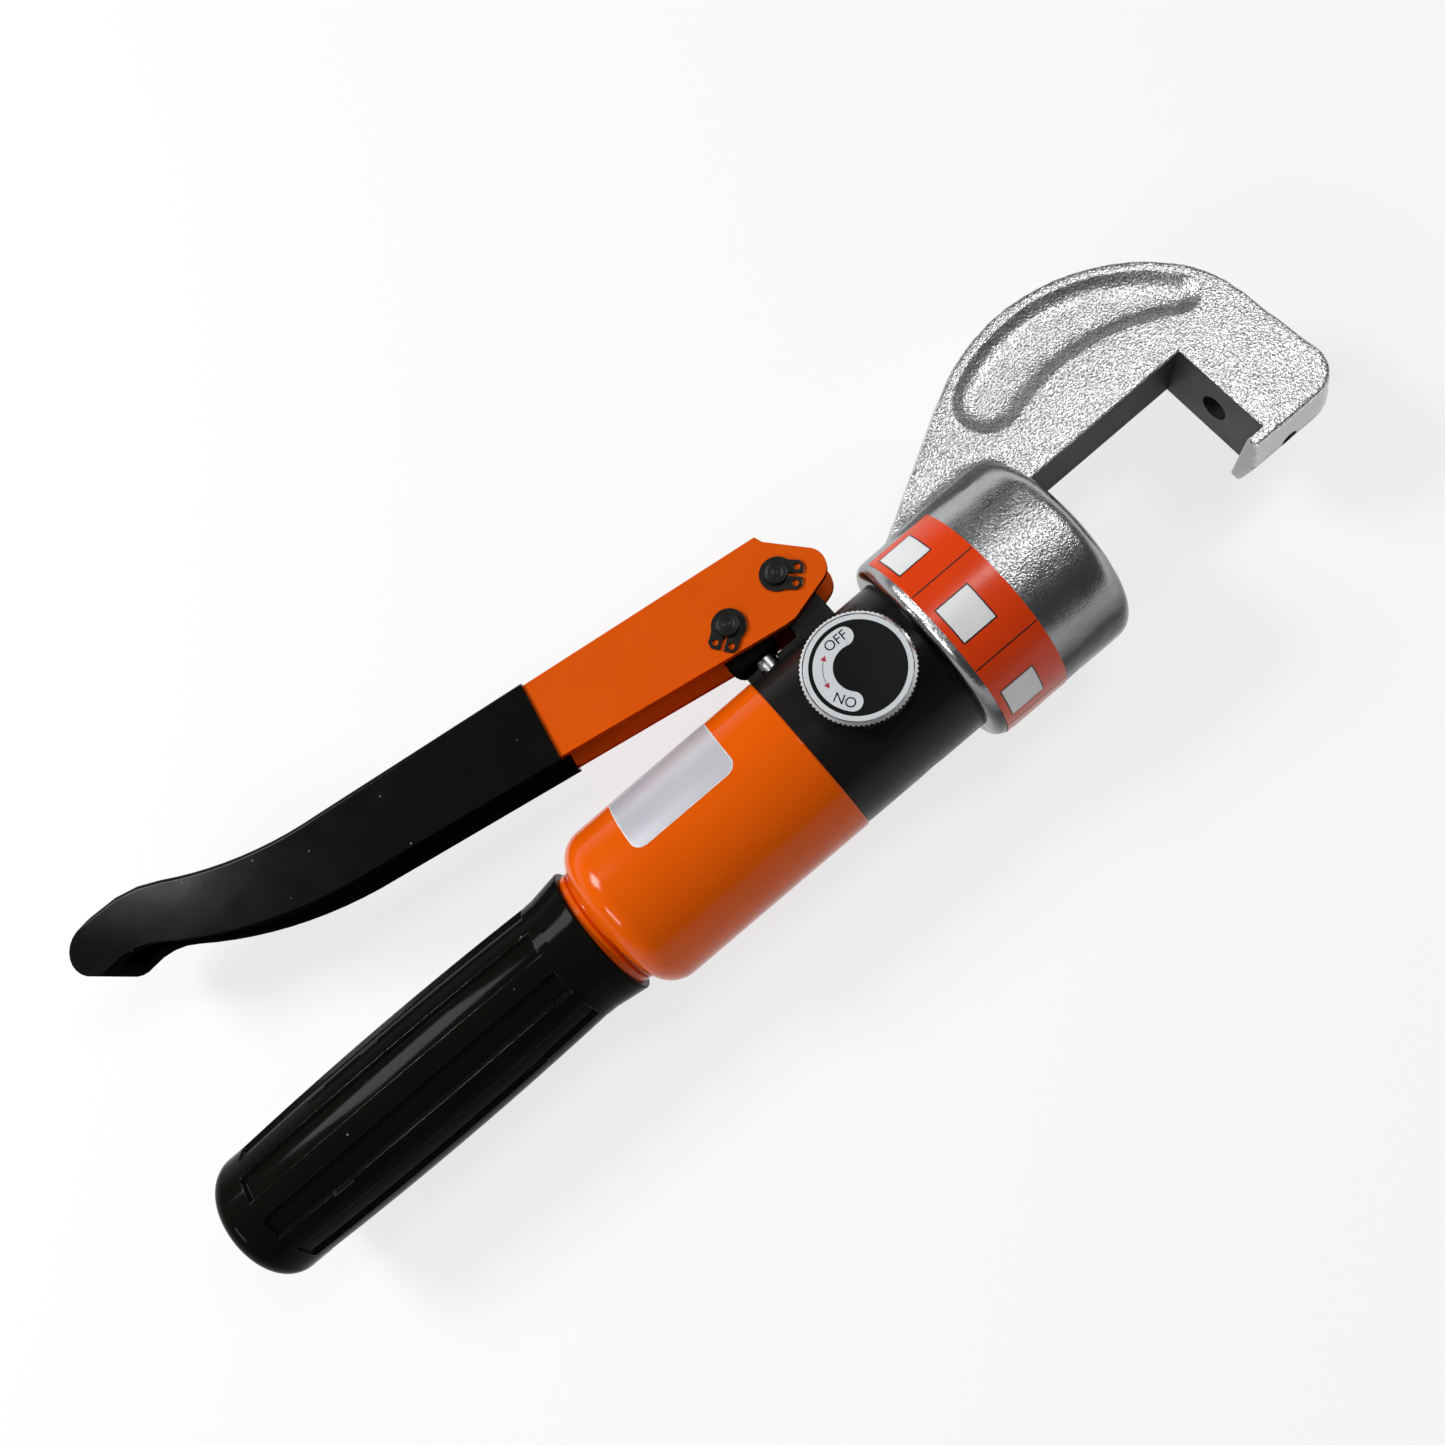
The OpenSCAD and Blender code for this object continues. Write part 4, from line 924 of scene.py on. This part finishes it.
def moulding(name, low, high, smooth, dull, shine):
    """Black plastic with specks of dust, and as much shine as given."""
    made, nodes_of, shade, place = finish(name, high, 0.0, smooth)
    specks = nodes_of.nodes.new("ShaderNodeTexVoronoi")
    specks.inputs["Scale"].default_value = 150
    nodes_of.links.new(place, specks.inputs["Vector"])
    dust = spread(nodes_of, specks.outputs["Distance"], 0.022, 0.045, 1.0, 0.0)
    base = tint(nodes_of, noise(nodes_of, place, 60, 4), low, high)
    nodes_of.links.new(tint(nodes_of, dust, base, "6A6A68"), shade.inputs["Base Color"])
    shade.inputs["Specular IOR Level"].default_value = shine
    scuffed(nodes_of, shade, place, 110, 4, smooth, dull)
    relief(nodes_of, shade, noise(nodes_of, place, 600, 2), 0.0001, 0.05)
    return made


grip_plastic = moulding("glossy black plastic", "0B0B0A", "12120F", 0.07, 0.13, 0.02)
arris = moulding("plastic polished by hands", "10100E", "1A1A17", 0.08, 0.14, 0.8)
flute_mid, flute_half = (FLUTE_FRONT + FLUTE_BACK) / 2, (FLUTE_FRONT - FLUTE_BACK) / 2
barrel = [FLUTE_FRONT - (FLUTE_FRONT - FLUTE_BACK) * i / 16 for i in range(17)]
grip = turned(
    "handle_grip",
    [(-259.9, TUBE_R), (GRIP_FRONT, TUBE_R), (GRIP_FRONT, 14.75)]
    + arc(GRIP_FRONT - 0.45, 14.85, 0.45, 0, 80, 4)
    + [(-169.2, 15.04), (-171.9, 14.64), (-174.2, 14.31), (-174.6, 14.27)]
    + [(x, GRIP_R - GRIP_FALL * ((x - flute_mid) / flute_half) ** 2) for x in barrel]
    + arc(GRIP_END + END_R, 9.7, END_R, 90, 178, 12)
    + [(GRIP_END, 6.0), (GRIP_END, 1.0)],
    sides=180,
)


def pick_faces(piece, wanted):
    """Selects the faces for which wanted(centre, normal) holds, and opens the piece."""
    alone(piece)
    bpy.ops.object.mode_set(mode="EDIT")
    bpy.ops.mesh.select_mode(type="FACE")
    bpy.ops.mesh.select_all(action="DESELECT")
    bpy.ops.object.mode_set(mode="OBJECT")
    for polygon in piece.data.polygons:
        polygon.select = wanted(polygon.center, polygon.normal)
    bpy.ops.object.mode_set(mode="EDIT")


def in_flute(centre, normal):
    """True on the outside of the grip where one of the flutes runs."""
    turn = (math.degrees(math.atan2(centre.z, centre.y)) - FLUTE_FIRST) % (360 / FLUTES)
    outside = math.hypot(centre.y, centre.z) > 13 * MM
    return outside and turn < FLUTE_WIDTH and FLUTE_BACK * MM < centre.x < FLUTE_FRONT * MM


pick_faces(grip, in_flute)
bpy.ops.mesh.inset(thickness=0.55 * MM, depth=-FLUTE_DEPTH * MM)
bpy.ops.object.mode_set(mode="OBJECT")
grip.data.materials.append(grip_plastic)
grip.data.materials.append(arris)
eased(grip, 0.3, 3, 28, material=1)
rounded(grip, 50)
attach(grip, "frame")
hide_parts("grip_sleeve")

# Lever: a channel pressed from sheet steel, open underneath, painted orange. Its long
# upper edges keep the radius of the bend, and its nose straddles the block's lug. From
# DIP_START on, the vinyl of the lever grip lines it.
LEVER_DEG, CHANNEL_WIDTH, DIP_START = -9.6, 13.8, -59.0
PIVOT_X, PIVOT_Y = -90.85, 32.2
PIVOT = Vector((PIVOT_X, PIVOT_Y, 0.0)) * MM
CURL_FROM, CURL_RATE = 112, 230


def on_lever(point):
    """A point in the lever's own frame, in millimetres, with its pivot at zero."""
    return Matrix.Rotation(math.radians(-LEVER_DEG), 3, "Z") @ (Vector(point) - PIVOT) / MM


def spine_height(x):
    """Roughly the middle of the lever's depth at a place along it."""
    return -0.3 if x > -CURL_FROM else (abs(x) - CURL_FROM) ** 2 / CURL_RATE


def upper_corner(width):
    """Picks the long upper edges of a channel that is so wide."""

    def found(one, two):
        for point in (one, two):
            if abs(abs(point.z) / MM - width / 2) > 0.02:
                return False
        a, b = on_lever(one), on_lever(two)
        along = abs(a.x - b.x) > 0.05
        return along and all(p.y > spine_height(p.x) + 2 and p.x < 0.2 for p in (a, b))

    return found


def pressed(node, name, width, bend, ease):
    """A copy of a CAD channel with bent upper edges of that radius and eased other ones."""
    piece = copy_of(node, name)
    flat_sided(piece)
    pick_edges(piece, upper_corner(width))
    bpy.ops.mesh.bevel(offset=bend * MM, segments=5, affect="EDGES", clamp_overlap=True)
    bpy.ops.object.mode_set(mode="OBJECT")
    eased(piece, ease, 3, 50)
    return piece


lever_paint = coat("lever enamel", "D04F08", "DB580D")
# The lever's faces that face -Y, chiefly its sheared lower edges, take a dull enamel without
# shine, thinner on the edges, and a darker orange that is painted shade.
sheared, tree, shader, where = finish("thin enamel on a sheared edge", "B04307", 0.0, 0.6)
shader.inputs["Specular IOR Level"].default_value = 0.0
mottled(tree, shader, where, 160, 4, "A03A06", "BC4A09")
lining = moulding("vinyl inside the channel", "0A0A09", "10100F", 0.5, 0.6, 0.0)

lever = pressed("lever_channel", "lever_pressing", CHANNEL_WIDTH, 2.2, 0.35)
swing = Matrix.Rotation(math.radians(LEVER_DEG), 3, "Z")
alone(lever)
bpy.ops.object.mode_set(mode="EDIT")
bpy.ops.mesh.select_all(action="SELECT")
bpy.ops.mesh.bisect(plane_co=PIVOT + swing @ Vector((DIP_START * MM, 0, 0)),
                    plane_no=swing @ Vector((1, 0, 0)))
bpy.ops.object.mode_set(mode="OBJECT")
rounded(lever, 32)
for look in (lever_paint, sheared, lining):
    lever.data.materials.append(look)
for polygon in lever.data.polygons:
    polygon.material_index = 1 if polygon.normal.y < -0.35 else 0
    if on_lever(polygon.center).x < DIP_START:
        polygon.material_index = 2
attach(lever, "lever")
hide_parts("lever_channel")

# Lever grip: the lever's end dipped in black vinyl, which covers the channel inside and
# out and closes its curled tip. Underneath, it dries dull.
DIP_T = 0.7
dip = moulding("dipped black vinyl", "0C0C0B", "131312", 0.1, 0.17, 0.05)
dipped = pressed("lever_grip", "lever_dip", CHANNEL_WIDTH + 2 * DIP_T, 2.3, 0.3)
rounded(dipped, 32)
dipped.data.materials.append(dip)
dipped.data.materials.append(lining)
for polygon in dipped.data.polygons:
    polygon.material_index = 1 if polygon.normal.y < -0.6 else 0
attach(dipped, "lever")
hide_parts("lever_grip")

# Pins and circlips: blackened turned pins through lever, lug and plunger, each kept by a
# stamped spring circlip at both ends. The pins' ends keep the rings of the lathe tool.
PIN_R, PIN_HALF = 2.5, 8.8
LATHE_RINGS = (
    (0.25, -0.07), (0.4, 0.0), (0.2, 0.06), (0.45, 0.0), (0.2, -0.06), (0.3, 0.0), (0.12, 0.05)
)
CLIP_LOW, CLIP_T, CLIP_R, CLIP_GAP = 6.9, 0.6, 3.8, 0.45
LUG_X, LUG_Y, LUG_HOLE = 4.15, 1.8, 0.74
LUG_ROOT, LUG_END, LUG_SIDE = 0.6, 5.55, 3.25
clip_steel, tree, shader, where = finish("stamped spring steel", "161514", 0.0, 0.3)
mottled(tree, shader, where, 260, 5, "10100F", "1C1B1A")
relief(tree, shader, noise(tree, where, 1500, 2), 0.00015, 0.15)
shader.inputs["Specular IOR Level"].default_value = 0.25


def lathe_pin(name, x, y):
    """A pin across the lever, with the tool's rings turned in both ends."""
    pin = bar(name, (x, y, -PIN_HALF), (x, y, PIN_HALF), PIN_R)
    pick_faces(pin, lambda centre, normal: abs(normal.z) > 0.9)
    bpy.ops.mesh.inset(thickness=0.35 * MM, depth=0.0)
    for width, rise in LATHE_RINGS:
        bpy.ops.mesh.inset(thickness=width * MM, depth=rise * MM)
    bpy.ops.object.mode_set(mode="OBJECT")
    eased(pin, 0.08, 2, 20)
    rounded(pin, 50)
    pin.data.materials.append(clip_steel)
    return pin


def lug_corner(one, two):
    """True for the upright edge at a lug's outer corner."""
    return abs(one.z - two.z) > 0.5 * MM and one.x > 5 * MM and abs(one.y) > 2 * MM


def circlip(name):
    """One circlip flat on z = 0, its two lugs towards +X."""
    clip = bar(name, (0, 0, 0), (0, 0, CLIP_T), CLIP_R)
    for side in (1, -1):
        low, high = sorted((side * CLIP_GAP, side * LUG_SIDE))
        lug = block("lug", (LUG_ROOT, low, 0), (LUG_END, high, CLIP_T))
        pick_edges(lug, lug_corner)
        bpy.ops.mesh.bevel(offset=1.0 * MM, segments=1, affect="EDGES")
        bpy.ops.object.mode_set(mode="OBJECT")
        cut(clip, lug, "UNION")
        cut(clip, bar("hole", (LUG_X, side * LUG_Y, -1), (LUG_X, side * LUG_Y, 2), LUG_HOLE, 24))
    cut(clip, block("slot", (0, -CLIP_GAP, -1), (7, CLIP_GAP, 2)))
    cut(clip, bar("eye", (0, 0, -1), (0, 0, 2), PIN_R + 0.02))
    eased(clip, 0.12, 2, 35)
    return clip


for pin_name, clip_name, x, y, turn in (
    ("pivot_pin", "pivot_circlips", PIVOT_X, PIVOT_Y, -45),
    ("plunger_pin", "plunger_circlips", -105.6, 30.4, 215),
):
    pin = lathe_pin(pin_name + "_turned", x, y)
    clips = []
    for end, low in (("upper", CLIP_LOW), ("lower", -CLIP_LOW - CLIP_T)):
        clip = circlip(f"{clip_name}_{end}")
        clip.rotation_mode = "XYZ"
        clip.rotation_euler = (0, 0, math.radians(turn))
        clip.location = (x * MM, y * MM, low * MM)
        alone(clip)
        bpy.ops.object.transform_apply(location=True, rotation=True, scale=True)
        clips.append(clip)
    pair = joined(*clips)
    rounded(pair, 40)
    pair.data.materials.append(clip_steel)
    for piece, node in ((pin, pin_name), (pair, clip_name)):
        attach(piece, "lever")
        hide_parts(node)
